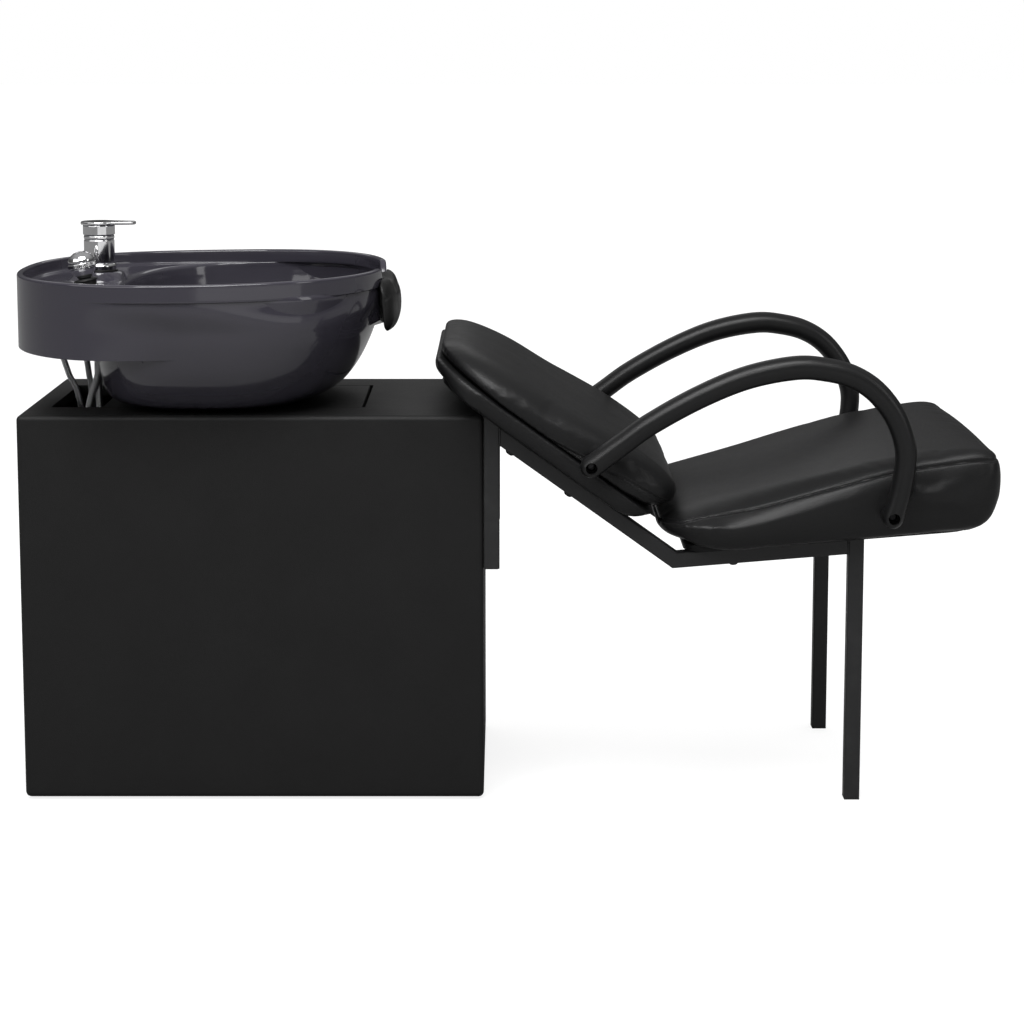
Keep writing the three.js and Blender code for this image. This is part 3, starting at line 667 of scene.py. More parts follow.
def body_outside(pocket):
    """From the waste hole out and up: to the deck's underside in the pocket, else to the skirt's edge."""
    low, hole = section_ring(BODY, FOOT_Z, BODY_REAR), circle_ring(WASTE_HOLE, FOOT_Z)
    rings = [blended(hole, low, f) for f in (0.0, 0.04, 0.3, 0.6, 0.85)]
    top = 628 + (706 - 628) * pocket
    z_low = spline(BODY[:5], 60)[:34, 0]
    rings += [section_ring(BODY, np.minimum(z, top), BODY_REAR) for z in z_low]
    start = z_low[-1]
    return rings + [section_ring(BODY, start + (top - start) * f, BODY_REAR)
                    for f in np.linspace(0, 1, 15)[1:]]


def under_deck(body_top, pocket):
    """Across the deck's underside and down inside the skirt; outside the pocket these rings lie together."""
    gauge, ceiling, edge = 6.0, 711.0, 633.0
    inner = wall_ring(707.0, gauge)
    high, under = inner.copy(), body_top.copy()
    high[:, 2] = under[:, 2] = ceiling
    steps = [blended(under, high, f) for f in (0.03, 0.12, 0.3, 0.5, 0.7, 0.88)] + [inner]
    steps += [wall_ring(z, gauge) for z in (695.0, 680.0, 665.0, 650.0, 640.0, 635.0)]
    steps += [blended(wall_ring(edge, 5.2), wall_ring(edge, 0), f) for f in (0.05, 0.5, 0.85)]
    share = pocket[:, None]
    return [ring * share + section_ring(BODY, z, BODY_REAR) * (1 - share)
            for ring, z in zip(steps, np.linspace(628.6, 632.4, len(steps)))]


def skirt_outside():
    """Up the skirt, and out under the rim where the body is drawn in."""
    heights = [633.5, 634.6, *np.linspace(637, 706, 22), 709.0, 711.4, 712.4]
    rings = [wall_ring(z) for z in heights]
    stepped = smoothstep(rim_ring(0, 0)[:, 0], -560, -440)
    rings.append(blended(wall_ring(712.8), rim_ring(0.9 * stepped, 712.9), 0.5))
    return rings + [rim_ring(0.7 * stepped, 713.0), rim_ring(0.15 * stepped, 713.4), rim_ring(0.0, 714.2)]


def over_rim():
    rings = [rim_ring(0.0, z) for z in (718.0, 723.0, 729.0, CREST)]
    quarter = np.linspace(0, math.pi / 2, 7)
    rings += [rim_ring(ROUND * (1 - math.cos(a)), CREST + ROUND * math.sin(a)) for a in quarter[1:]]
    rings += [rim_ring(WALL - ROUND + ROUND * math.sin(a), CREST + ROUND * math.cos(a)) for a in quarter]
    return rings + [rim_ring(WALL, z) for z in (730.0, 725.5)]


def ledge():
    """The deck, from the rim's inner face to the basin's lip: wide at the rear, closing up at the front."""
    outer = rim_ring(WALL, DECK_Z)
    lip = oval(-533, -168.6, 272.5, DECK_Z, BASIN_REAR)
    width = np.linalg.norm(lip - outer, axis=1)
    inward = (lip - outer) / np.maximum(width, 1e-6)[:, None]
    foot = np.minimum(5.0, width * 0.3)[:, None]
    brow = np.minimum(8.0, width * 0.45)[:, None]
    up = np.array([0, 0, 1.0])
    rings = [outer + inward * foot * (1 - math.cos(a)) + up * (foot * (1 - math.sin(a)))
             for a in np.linspace(0, math.pi / 2, 6)]
    flat, edge = outer + inward * foot, lip - inward * brow
    rings += [blended(flat, edge, f) for f in np.linspace(0, 1, 34)[1:-1]]
    return rings + [edge + inward * brow * math.sin(a) - up * (brow * (1 - math.cos(a)))
                    for a in np.linspace(0, math.pi / 2, 7)]


def basin_inside(lip_heights):
    """Down from the lip, across the floor and into the waste hole."""
    turn_z = 586
    rings = [section_ring(INSIDE, turn_z + (np.minimum(lip_heights, 711.5) - turn_z) * f, BASIN_REAR)
             for f in np.linspace(1, 0, 22)[1:] ** 0.8]
    rings += [section_ring(INSIDE, z, BASIN_REAR) for z in spline(INSIDE[:4], 26)[::-1, 0][1:]]
    floor, hole = rings[-1], circle_ring(WASTE_HOLE, FLOOR_Z)
    rings += [blended(floor, hole, f) for f in (0.1, 0.3, 0.5, 0.7, 0.9, 0.99, 1.0)]
    return rings + [circle_ring(WASTE_HOLE, FLOOR_Z - 3.5)]


def bowl_rings():
    """All rings in order; the pocket, 1 round the rear and 0 elsewhere, is the hollow under the deck."""
    from_rear = np.abs(np.mod(ANGLES, 2 * math.pi) - math.pi)
    pocket = 1 - smoothstep(from_rear, math.radians(52), math.radians(70))
    rings = body_outside(pocket)
    rings += under_deck(rings[-1], pocket) + skirt_outside() + over_rim() + ledge()
    return np.array(rings + basin_inside(rings[-1][:, 2]))


def rim_height(y):
    """The rim's top along the front, dipping under the neck."""
    return RIM_TOP - 34 * (1 - smoothstep(np.abs(y), 40, 76))


def risen(v):
    """The front of the rim stands a little higher than the rear."""
    share = np.clip((v[..., 2] - 650) / 86.0, 0, 1)
    v[..., 2] += 4.0 * smoothstep(v[..., 0], -545, -165) * share
    return v


def bowl_details(v):
    """Lowers the front of the rim and raises the pad under the tap."""
    z0 = 650.0
    near = 1 - smoothstep(-v[:, 0], 205, 240)
    cap = RIM_TOP + (rim_height(v[:, 1]) - RIM_TOP) * near
    above = v[:, 2] > z0
    v[above, 2] = (z0 + (v[:, 2] - z0) * (cap - z0) / (RIM_TOP - z0))[above]
    from_tap = np.hypot(v[:, 0] - TAP_X, v[:, 1])
    on_deck = np.abs(v[:, 2] - DECK_Z) < 0.6
    v[on_deck, 2] += ((TAP_TOP - DECK_Z) * (1 - smoothstep(from_tap, 31, 47)))[on_deck]
    return risen(v)


def leaned(points):
    """Takes points from the spray's own upright axis to its place on the deck."""
    c, s = math.cos(SPRAY_LEAN), math.sin(SPRAY_LEAN)
    x, y, z = (np.asarray(points, float)[..., k] for k in range(3))
    return np.stack([x * c + z * s, y, z * c - x * s], -1) + SPRAY_FOOT


def make_bowl():
    verts, faces = skin(bowl_rings(), "join")
    bowl = piece("bowl_moulding", bowl_details(verts), faces, ABS, "bowl", "bowl_abs", ("bowl_shell",))
    cut(bowl, (upright_rod(17, 640, 760, TAP_X), upright_rod(16, -45, 60, place=leaned)))
    bowl.data.set_sharp_from_angle(angle=math.radians(50))


def make_neck_rest():
    """A soft saddle over the dip in the rim: an outer lip, a groove for the wall and a short inner lip."""
    rings = []
    half = 102.0
    middle = np.array([10.5, 690.0])
    for turn in np.linspace(-math.pi / 2, math.pi / 2, 121):
        y = half * math.sin(turn)
        far = abs(y)
        rim_x = RIM["centre"] + RIM["a"] * (1 - (far / RIM["b"]) ** RIM_POWER) ** (1 / RIM_POWER)
        wall = float(rim_height(np.array([y]))[0]) + 0.7
        pull = float(smoothstep(far, 46, 59))
        top = 714 + 9 * float(smoothstep(far, 20, 62)) - 4 * float(smoothstep(far, 76, 102))
        wall = min(wall, top - 3.0)
        inner_foot = 698 + (wall - 10 - 698) * pull
        left = -22.5 + (1.4 + 22.5) * pull
        outer = [[left, inner_foot + 2], [left - 0.6 * (1 - pull), (inner_foot + top) / 2 + 2],
                 [left + 2.5, top - 1.8], [left * 0.4 + 2, top], [7, top - 1.2], [12.5, top - 6.5],
                 [16.8, top - 17], [19.4, 698], [20.8, 684], [19.8, 670], [16.2, 658.5], [11.8, 653.4],
                 [8.2, 656.5], [6.8, 668], [4.4, 682], [1.6, 691]]
        edge = min(left + 9, 0.9)
        groove = [[0.9, 697], [0.9, wall - 2], [0.9 - 1.5 * (1 - pull), wall], [edge, wall],
                  [edge, min(wall, inner_foot + 6)], [left + 6 * (1 - pull), inner_foot]]
        line = np.vstack([spline(outer, 80), softened(groove, 1.0, 3)])
        if far > 84:
            keep = math.sqrt(max(0.0, 1 - ((far - 84) / 18.05) ** 2))
            line = middle + (line - middle) * np.array([max(keep, 0.25), 0.35 + 0.65 * keep])
            line[:, 0] = np.maximum(line[:, 0], 1.0)
        rings.append(np.stack([rim_x + line[:, 0], np.full(len(line), y), line[:, 1]], 1))
    verts, faces = skin(np.array(rings))
    piece("neck_rest_rubber", risen(verts), faces, RUBBER, "bowl", "rubber", ("neck_rest",), sharp=55)


make_bowl()
make_neck_rest()


# ---- Waste and strainer ----
def make_waste():
    base = FLOOR_Z
    turned_piece("waste_flange_ring", [
        [17.5, 500], [20.5, 500], [20.5, base + 0.4], [34, base + 0.4], [34, base + 2], [28, base + 4.2],
        [21, base + 3.2], [17.5, base + 0.6], [17.5, 500]], CHROME, "bowl", "chrome", ("waste_flange",),
        x=WASTE_X, radius=0.9)

    def nut_grip(angle, r, z):
        return r + np.where(r > 30, 1.2 * np.clip(np.sin(angle * 12) * 3, -1, 0), 0)

    turned_piece("waste_nut_ring", [
        [20.9, 522], [33, 522], [33, 535.7], [20.9, 535.7], [20.9, 522]], RUBBER, "bowl", "rubber",
        ("waste_nut",), x=WASTE_X, segments=144, radius=1.2, ripple=nut_grip)
    strainer = turned_piece("hair_strainer_basket", [
        [0, 538], [15.2, 538], [16.4, base + 3.4], [23.5, base + 4.6], [22.5, base + 7], [14, base + 8.6],
        [5, base + 9], [4, base + 13], [6.5, base + 16], [5.5, base + 18.6], [0, base + 19]],
        CHROME, "strainer", "chrome", ("hair_strainer",), x=WASTE_X, radius=0.9)
    holes = []
    for ring, count, size in ((18.6, 16, 1.35), (13.8, 12, 1.35), (9.4, 8, 1.3)):
        for k in range(count):
            a = 2 * math.pi * (k + ring % 1) / count
            x, y = WASTE_X + ring * math.cos(a), ring * math.sin(a)
            holes.append(upright_rod(size, base - 1, base + 12, x, y, 12))
    cut(strainer, (join(holes),))
    strainer.data.set_sharp_from_angle(angle=math.radians(32))


make_waste()


# ---- Mixer tap ----
def lever_outline():
    """The lever from above: round over the cap and drawn in to a rounded tip."""
    cap, neck, tip_x, tip = 26.0, 0.72, 48.0, 10.0
    outline = [[cap * math.cos(a), cap * math.sin(a)] for a in np.linspace(neck, 2 * math.pi - neck, 70)]
    outline += [[tip_x + 0.6 * tip * math.cos(a), tip * math.sin(a)]
                for a in np.linspace(-math.pi / 2, math.pi / 2, 24)]
    corners = even(np.array(outline + outline[:1]), 181)[:-1]
    line = corners.copy()
    for _ in range(6):
        line = (np.roll(line, 1, 0) + line * 2 + np.roll(line, -1, 0)) / 4
    return line + (corners - line) * 0.3


def line_ring(line, inset, z):
    """A closed plan outline moved inwards by inset, or shrunk about its middle when that is far."""
    if inset > 4:
        middle = line.mean(0)
        moved = middle + (line - middle) * max(0.05, 1 - inset / 14.0)
    else:
        t = np.roll(line, -1, 0) - np.roll(line, 1, 0)
        t /= np.linalg.norm(t, axis=1)[:, None]
        moved = line + np.stack([-t[:, 1], t[:, 0]], 1) * inset
    return np.concatenate([moved, np.full((len(line), 1), z)], 1)


def make_tap():
    gasket = TAP_TOP + 2.4
    r = 22.0
    turned_piece("tap_gasket_ring", [
        [15.4, TAP_TOP + 0.3], [26, TAP_TOP + 0.3], [26, gasket], [15.4, gasket], [15.4, TAP_TOP + 0.3]],
        RUBBER, "bowl", "rubber", ("tap_gasket",), x=TAP_X, radius=0.7)
    turned_piece("mixer_column", [
        [0, 690], [15, 690], [15, gasket + 0.3], [r + 2, gasket + 0.3], [r + 2, gasket + 6],
        [r + 1, gasket + 8], [r - 0.6, gasket + 9.4], [r - 0.6, gasket + 10.4], [r, gasket + 11.4],
        [r, 776], [r - 0.9, 776.6], [r - 0.9, 778], [r, 778.6], [r, 782], [r - 1.2, 784], [0, 784]],
        CHROME, "bowl", "chrome", ("mixer_body",), x=TAP_X, segments=128, radius=0.7)
    turned_piece("mixer_back_nut", [
        [15.5, 701.7], [22, 701.7], [22, 710.7], [15.5, 710.7], [15.5, 701.7]], ZINC, "bowl", "zinc",
        ("mixer_nut",), x=TAP_X, segments=96, radius=0.8,
        ripple=lambda angle, rr, z: rr if rr < 17 else hexagon(angle, 41.2) * rr / 22)
    turned_piece("lever_cap_ring", [
        [0, 784.3], [r + 1, 784.3], [r + 1, 797.2], [r, 798.5], [0, 798.5]], CHROME, "lever_cap", "chrome",
        ("lever_cap",), x=TAP_X, segments=128, radius=0.8)
    low, high = 798.8, 803.4
    levels = [(12, low), (6, low), (1.1, low), (0.3, low + 0.35), (0, low + 1.1), (0, high - 1.5),
              (0.35, high - 0.6), (1.3, high), (6, high), (12, high)]
    line = lever_outline()
    verts, faces = skin(np.array([line_ring(line, inset, z) for inset, z in levels]))
    piece("lever_blade", verts + [TAP_X, 0, 0], faces, CHROME, "lever", "chrome", ("mixer_lever",), sharp=40,
          weighted=True)


make_tap()


# ---- Pull-out spray ----
def make_spray():
    r, head = 9.0, 19.5

    def spray_part(name, profile, body, slot, node, material=CHROME, **shape):
        shape = {"segments": 128, "radius": 0.8, **shape}
        turned_piece(name, profile, material, body, slot, (node,), lean=leaned, **shape)

    def knurl(angle, rr, z):
        return rr + (0.32 * np.cos(angle * 48) if 26.2 < z < 30.8 and rr > head - 1 else 0 * angle)

    spray_part("spray_socket_collar", [
        [r + 0.6, -20], [r + 5.5, -20], [r + 5.5, 5.5], [r + 8, 5.5], [r + 7.6, 7.4], [r + 6, 9],
        [r + 0.6, 9], [r + 0.6, -20]], "bowl", "rubber", "spray_socket", RUBBER, segments=96)
    spray_part("spray_handle", [
        [0, -52], [r - 1.4, -52], [r, -49], [r, -18], [r - 0.5, -17.4], [r - 0.5, -15.6], [r, -15], [r, 9.6],
        [head - 6, 14.6], [head - 1.4, 21.5], [head - 0.5, 24.5], [0, 24.5]], "spray", "chrome", "spray_grip")
    spray_part("spray_grip_ring", [
        [0, 24.8], [head - 0.3, 24.8], [head + 0.6, 25.7], [head + 0.6, 27], [head + 0.6, 28.5],
        [head + 0.6, 30.3], [head + 0.6, 31.3], [head - 0.3, 32.2], [0, 32.2]], "spray", "chrome",
        "spray_knurl_ring", radius=0.5, segments=384, ripple=knurl)
    spray_part("spray_face", [
        [0, 32.5], [head - 0.5, 32.5], [head - 0.6, 36], [head - 2.6, 41], [head - 7, 45.2],
        [head - 8.6, 45.4], [head - 9.4, 46.6], [5, 48.2], [0, 48.5]], "spray", "chrome",
        "spray_dome", radius=1.6)
    # Soft nozzles in rings on the spray face.
    verts, faces = [], []
    for ring, count in ((2.6, 6), (5.6, 12), (8.4, 18)):
        top = 48.5 - 0.3 - 0.19 * ring
        nub = [[0, top - 0.9], [0.75, top - 0.9], [0.6, top + 0.75], [0, top + 0.85]]
        for a in once_round(count):
            v, f = skin(turned(nub, ring * math.cos(a), ring * math.sin(a), 12, 0.25))
            faces += [tuple(i + len(verts) for i in face) for face in f]
            verts += list(v)
    piece("spray_nozzles", leaned(verts), faces, RUBBER, "spray", "rubber", sharp=40)


make_spray()


# ---- Hoses ----
def along_spray(d):
    """A point on the spray's axis, d above the deck."""
    return leaned([0.0, 0.0, d]).tolist()


SPRAY_ROUTE = [
    along_spray(-52.3), along_spray(-76), along_spray(-100), [-568, -66, 586], [-581, -59, 548],
    [-589, -53, 500], [-592, -50, 430], [-593, -49, 360], [-588, -42, 312], [-579, -29, 296],
    [-570, -16, 312], [-566, -9, 360], [-567, -8, 430], [-575, -8, 520], [-577, -8.6, 600],
    [-573, -8.8, 660], [-573, -8.8, 689.4]]
HOT_ROUTE = [
    [-580.5, 6, 689.4], [-581.5, 6.5, 672], [-612, 16, 650], [-634, 20, 620], [-626, 22, 580],
    [-611, 24, 540], [-600, 26, 430], [-592, 30, 250], [-590, 30, 130], [-590, 30, 72.2]]
COLD_ROUTE = [
    [-566.5, 6, 689.4], [-568, 8, 672], [-590, 36, 650], [-603, 42, 620], [-600, 44, 578],
    [-596, 46, 540], [-593, 50, 400], [-590, 56, 250], [-590, 56, 130], [-590, 56, 72.2]]
DRAIN_ROUTE = [
    [-430, 0, 499.6], [-430, 0, 450], [-460, 0, 350], [-520, 0, 240], [-540, 0, 130], [-540, 0, 22]]


def hose_piece(name, route, radius, material, slot, node, step=1.6, around=20,
               shape=None):
    """A hose along a route; without a shape it gets a ferrule at each end."""
    line = spline(route, 600)
    run = np.linalg.norm(np.diff(line, axis=0), axis=1).sum()
    line = even(line, int(run / step))
    at = np.linspace(0, run, len(line))
    if shape is None:
        near = np.minimum(at, run - at)
        radii = radius + 0.9 * (1 - smoothstep(near, 15.0, 16.5)) * (near > 0.8)
    else:
        radii = radius + shape(at, run)
    verts, faces = skin(tube_rings(line, radii, around))
    made = piece(name, verts, faces, material, None, slot, sharp=60)
    add_braid_uv(made, len(line), around, run * MM)
    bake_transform(made)
    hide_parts(node)


def corrugation(at, run):
    """Shallow waves along a hose, with plain cuffs at its ends."""
    cuff, pitch, depth = 30, 6.0, 0.9
    return np.where(np.minimum(at, run - at) < cuff, 0.3, depth * (np.cos(2 * math.pi * at / pitch) - 1))


def make_hoses():
    hose_piece("spray_hose_braid", SPRAY_ROUTE, 5.4, BRAID, "braided_steel", "spray_hose")
    for name, route, y in (("hot", HOT_ROUTE, 30), ("cold", COLD_ROUTE, 56)):
        hose_piece(f"{name}_hose_braid", route, 4.4, BRAID, "braided_steel", f"{name}_supply_hose",
                   around=16)
    hose_piece("drain_hose_rubber", DRAIN_ROUTE, 18.7, HOSE_RUBBER, "rubber", "drain_hose",
               step=1.0, around=48, shape=corrugation)

    def union_grip(angle, r, z):
        return np.minimum(hexagon(angle, 20.8), 12) * r / 11.4 if r > 10.5 else r + 0 * angle

    for name, y in (("hot", 30), ("cold", 56)):
        turned_piece(f"{name}_union", [[0, 50], [11.4, 50], [11.4, 69], [9, 71.8], [0, 71.8]], ZINC, "base",
                     "zinc", (f"{name}_union_nut",), x=-590, y=y, segments=72, radius=0.8, ripple=union_grip)


make_hoses()


# ---- Cabinet: a board carcass wrapped in leathercloth ----
CABINET = dict(x0=-662.5, x1=-15.5, half=191.0, z0=3.0, z1=548.0, wall=15.0)
CUTOUT = dict(x0=-627.5, x1=-183.5, half=112.0)
PIN_X, PIN_Z, PIN_BORE = -196.0, 527.5, 5.1


def rounded_box(x0, x1, y0, y1, z0, z1, radius, steps=3):
    """A box with round edges, as vertices and faces; without a radius its edges stay sharp."""
    work = bmesh.new()
    bmesh.ops.create_cube(work, size=1.0)
    for v in work.verts:
        v.co = Vector(((x0 + x1) / 2 + v.co.x * (x1 - x0), (y0 + y1) / 2 + v.co.y * (y1 - y0),
                       (z0 + z1) / 2 + v.co.z * (z1 - z0)))
    bmesh.ops.bevel(work, geom=list(work.edges), offset=radius, segments=steps, profile=0.5, affect="EDGES",
                    clamp_overlap=True)
    verts = np.array([v.co[:] for v in work.verts])
    work.verts.index_update()
    faces = [tuple(v.index for v in f.verts) for f in work.faces]
    work.free()
    return verts, faces


def box_tool(*extent):
    return tool("box", *rounded_box(*extent, radius=0.001, steps=1))


def block(name, extent, radius, material, body, slot, nodes=()):
    verts, faces = rounded_box(*extent, radius=radius)
    return piece(name, verts, faces, material, body, slot, nodes, weighted=True)


def make_cabinet():
    c, w = CABINET, CABINET["wall"]
    work = bmesh.new()
    bmesh.ops.create_cube(work, size=1.0)
    for v in work.verts:
        v.co = Vector((v.co.x * (c["x1"] - c["x0"]), v.co.y * 2 * c["half"], v.co.z * (c["z1"] - c["z0"])))
        v.co += Vector(((c["x0"] + c["x1"]) / 2, 0, (c["z0"] + c["z1"]) / 2))
        v.co *= MM
    mesh = bpy.data.meshes.new("cabinet_wrap")
    work.to_mesh(mesh)
    work.free()
    cabinet = dressed(placed("cabinet_wrap", mesh), WRAP, "base", ("cabinet_shell",))
    cut(cabinet, [
        box_tool(c["x0"] + w, c["x1"] - w, -c["half"] + w, c["half"] - w, c["z0"] + w, c["z1"] - w),
        box_tool(CUTOUT["x0"], CUTOUT["x1"], -CUTOUT["half"], CUTOUT["half"], 520, 560),
        box_tool(-600, -90, -125, 125, -5, 30),        # floor opening
        box_tool(-680, -640, -145, 145, 70, 490),      # service opening
        box_tool(-680, -656.5, -155, 155, 60, 500)])   # rebate for its panel
    round_edges(cabinet, 7.5, 2.2)


def round_edges(obj, outer, inner):
    """Rounds every hard edge: widely on the outer box, tightly round the openings."""
    lo = [min(v.co[k] for v in obj.data.vertices) for k in range(3)]
    hi = [max(v.co[k] for v in obj.data.vertices) for k in range(3)]
    work = bmesh.new()
    work.from_mesh(obj.data)
    bmesh.ops.dissolve_limit(work, angle_limit=math.radians(1), verts=work.verts, edges=work.edges)
    wide, tight = [], []
    for e in work.edges:
        if len(e.link_faces) != 2 or e.calc_face_angle(0.0) < math.radians(30):
            continue
        mid = (e.verts[0].co + e.verts[1].co) / 2
        outside = sum(abs(mid[k] - lo[k]) < 1e-5 or abs(mid[k] - hi[k]) < 1e-5 for k in range(3))
        (wide if outside >= 2 else tight).append(e)
    for edges, size, steps in ((tight, inner, 3), (wide, outer, 6)):
        alive = [e for e in edges if e.is_valid]
        if alive:
            bmesh.ops.bevel(work, geom=alive, offset=size * MM, segments=steps, profile=0.5, affect="EDGES",
                            clamp_overlap=True)
    work.to_mesh(obj.data)
    work.free()
    smooth(obj)
    obj.modifiers.new("even_shading", "WEIGHTED_NORMAL")


def make_cabinet_fittings():
    block("service_panel", (-662.5, -656.8, -154.2, 154.2, 60.8, 499.2), 1.4, WRAP, "base", "cabinet_wrap",
          ("rear_service_panel",))
    head = [[0, 0], [6, 0], [6, 0.25], [4.6, 1.2], [2.6, 1.6], [2.4, 0.5], [0, 0.5]]
    verts, faces = skin(turned(head, segments=48, radius=0.25))
    for side, sign in SIDES:
        facing_rear = np.stack([-662.8 - verts[:, 2], sign * 133.0 + verts[:, 1], 280 + verts[:, 0]], 1)
        piece(f"panel_screw_head_{side}", facing_rear, faces, ZINC, "base", "zinc", (f"panel_screw_{side}",),
              sharp=35)
    places = [(x, sign * 146.0) for x in (-617.5, -60.5) for _, sign in SIDES]
    for number, (x, y) in enumerate(places, 1):
        turned_piece(f"glide_{number}", [[0, 0], [13.4, 0], [15, 0.9], [15, 2.7], [0, 2.7]], RUBBER, "base",
                     "rubber", (f"floor_glide_{number}",), x=x, y=y, segments=64, radius=0.3)


def make_tilt_plate():
    verts, faces = rounded_box(-556, -188, -111.2, 111.2, 536, 548, radius=1.8)
    plate = piece("tilt_plate_wrapped", verts, faces, WRAP, "bowl", "cabinet_wrap", ("tilt_plate",))
    cut(plate, [crosswise_rod(9.5, -60, 60, PIN_X, PIN_Z, 64)], "UNION")
    bore = crosswise_rod(PIN_BORE, -130, 130, PIN_X, PIN_Z, 64)
    cut(plate, [bore, upright_rod(WASTE_HOLE, 500, 600, WASTE_X)])
    smooth(plate, 40, True)
    half = 86.0
    ends = [[0, -half], [4.2, -half], [5, -half + 0.9], [5, half - 0.9], [4.2, half], [0, half]]
    verts, faces = skin(turned(ends, segments=48, radius=0.4))
    piece("tilt_pin_rod", verts[:, [0, 2, 1]] + [PIN_X, 0, PIN_Z], faces, ZINC, "base", "zinc",
          ("tilt_hinge_pin",), sharp=35)
    for side, sign in SIDES:
        y0, y1 = sorted((sign * 62.0, sign * 84.0))
        verts, faces = rounded_box(-209, -146, y0, y1, 510.7, 532.7, radius=1.5)
        made = piece(f"tilt_block_{side}", verts, faces, STEEL, "base", "frame_steel",
                     (f"tilt_hinge_block_{side}",))
        cut(made, [crosswise_rod(PIN_BORE, y0 - 5, y1 + 5, PIN_X, PIN_Z, 64)])
        smooth(made, 40, True)


make_cabinet()
make_cabinet_fittings()
make_tilt_plate()


# ---- Frame of 22 mm square tube ----
TUBE_Y, TUBE_HALF = 180.0, 11.0
TUBE_SHELLS = ((TUBE_HALF, 3.0), (9.4, 1.5))  # half width and corner radius of the outside and of the bore
HEAD, BEND, FRONT = np.array([-11.5, 532.2]), np.array([250.8, 343.7]), np.array([491.2, 363.4])
DOWN = (BEND - HEAD) / np.linalg.norm(BEND - HEAD)
OUT = np.array([-DOWN[1], DOWN[0]])
FORWARD = (FRONT - BEND) / np.linalg.norm(FRONT - BEND)
UP = np.array([-FORWARD[1], FORWARD[0]])
BACK_FRAME, SEAT_FRAME = (HEAD, DOWN, OUT), (BEND, FORWARD, UP)


def on_frame(frame_of_pad, u, v):
    """X and Z of points u along the rail and v above its top face."""
    origin, along, out = frame_of_pad
    u, v = np.asarray(u, float)[..., None], np.asarray(v, float)[..., None]
    return origin + u * along + (v + TUBE_HALF) * out


def square_section(half, radius):
    corners = [[-half, -half], [half, -half], [half, half], [-half, half]]
    return softened(corners, radius, closed=True)


def tube_walls(rings_for):
    """A tube's outside, and back along its bore; rings_for gives the rings of one section along the tube."""
    outer, bore = (rings_for(square_section(half, radius)) for half, radius in TUBE_SHELLS)
    return skin(np.array(outer + bore[::-1]), "join")


def tube_piece(name, points, y, node, trims=()):
    """A square tube in the XZ plane with mitred corners, its wall showing at open ends."""
    points = [np.asarray(p, float) for p in points]

    def rings_for(section):
        rings = []
        for i, p in enumerate(points):
            before = points[i] - points[i - 1] if i else points[1] - points[0]
            after = points[i + 1] - points[i] if i < len(points) - 1 else before
            before, after = before / np.linalg.norm(before), after / np.linalg.norm(after)
            mean = (before + after) / np.linalg.norm(before + after)
            normal = np.array([-mean[1], mean[0]])
            stretch = 1 / max(0.2, normal.dot(np.array([-after[1], after[0]])))
            rise = section[:, 1] * stretch
            rings.append(np.stack([p[0] + normal[0] * rise, y + section[:, 0], p[1] + normal[1] * rise], 1))
        return rings

    tube = piece(name, *tube_walls(rings_for), STEEL, "base", "frame_steel", (node,))
    for trim in trims:
        cut(tube, [trim])
    smooth(tube, 35, True)


def weld_bead(name, ring_points, size):
    """A run of small overlapping beads along a closed line of points."""
    pitch = 3.4
    line = even(np.vstack([ring_points, ring_points[:1]]), 150)
    count = int(np.linalg.norm(np.diff(line, axis=0), axis=1).sum() / pitch)
    wave = np.abs(np.sin(np.linspace(0, 1, len(line)) * math.pi * count))
    rings = tube_rings(line, size * (0.72 + 0.28 * wave), 8, up=(0.3, 0.2, 0.9))
    piece(name, *skin(rings[:-1], "join"), STEEL, "base", "frame_steel")


def make_rails_and_legs():
    rail_top = on_frame(BACK_FRAME, [-90.0, 60.0, 60.0, -90.0], [0.0, 0.0, 90.0, 90.0])
    under = on_frame(BACK_FRAME, TUBE_HALF + 0.9, -TUBE_HALF)
    joint_x, weld = 7.0, 1.3
    joint_z = under[1] + (joint_x - under[0]) * DOWN[1] / DOWN[0]
    collar = square_section(TUBE_HALF + 0.2, 3.0)
    for side, sign in SIDES:
        y = sign * TUBE_Y
        above = tool("slope", *skin([np.insert(rail_top, 1, edge, axis=1) for edge in (-300, 300)]))
        tube_piece(f"upright_tube_{side}", [[-4.2, 547.5], [-4.2, 332]], y, f"upright_{side}", [above])
        tube_piece(f"rail_tube_{side}", [HEAD - 30 * DOWN, BEND, FRONT], y, f"side_rail_{side}",
                   [box_tool(-100, joint_x + 0.1, -300, 300, 200, 560)])
        tube_piece(f"leg_tube_{side}", [[503.5, 3], [503.5, 374.6]], y, f"front_leg_{side}")
        # End plugs close the open tubes.
        for name, x0, x1, half, z0, z1, radius, nodes in (
                ("upright_plug", -13.4, 5.0, 9.2, 330.9, 336, 1.0, ()),
                ("leg_plug", 494.3, 512.7, 9.2, 370, 375.8, 1.2, ()),
                ("foot_cap", 492.6, 514.4, 10.9, 0, 2.7, 0.9, (f"leg_foot_{side}",))):
            box = (x0, x1, y - half, y + half, z0, z1)
            block(f"{name}_{side}", box, radius, RUBBER, "base", "rubber", nodes)
        weld_bead(f"leg_weld_{side}", np.array([[492.3, y + a, FRONT[1] + b] for a, b in collar]), weld)
        joint = np.array([[joint_x, y + a, joint_z + b * 1.23] for a, b in collar])
        weld_bead(f"upright_weld_{side}", joint, weld)


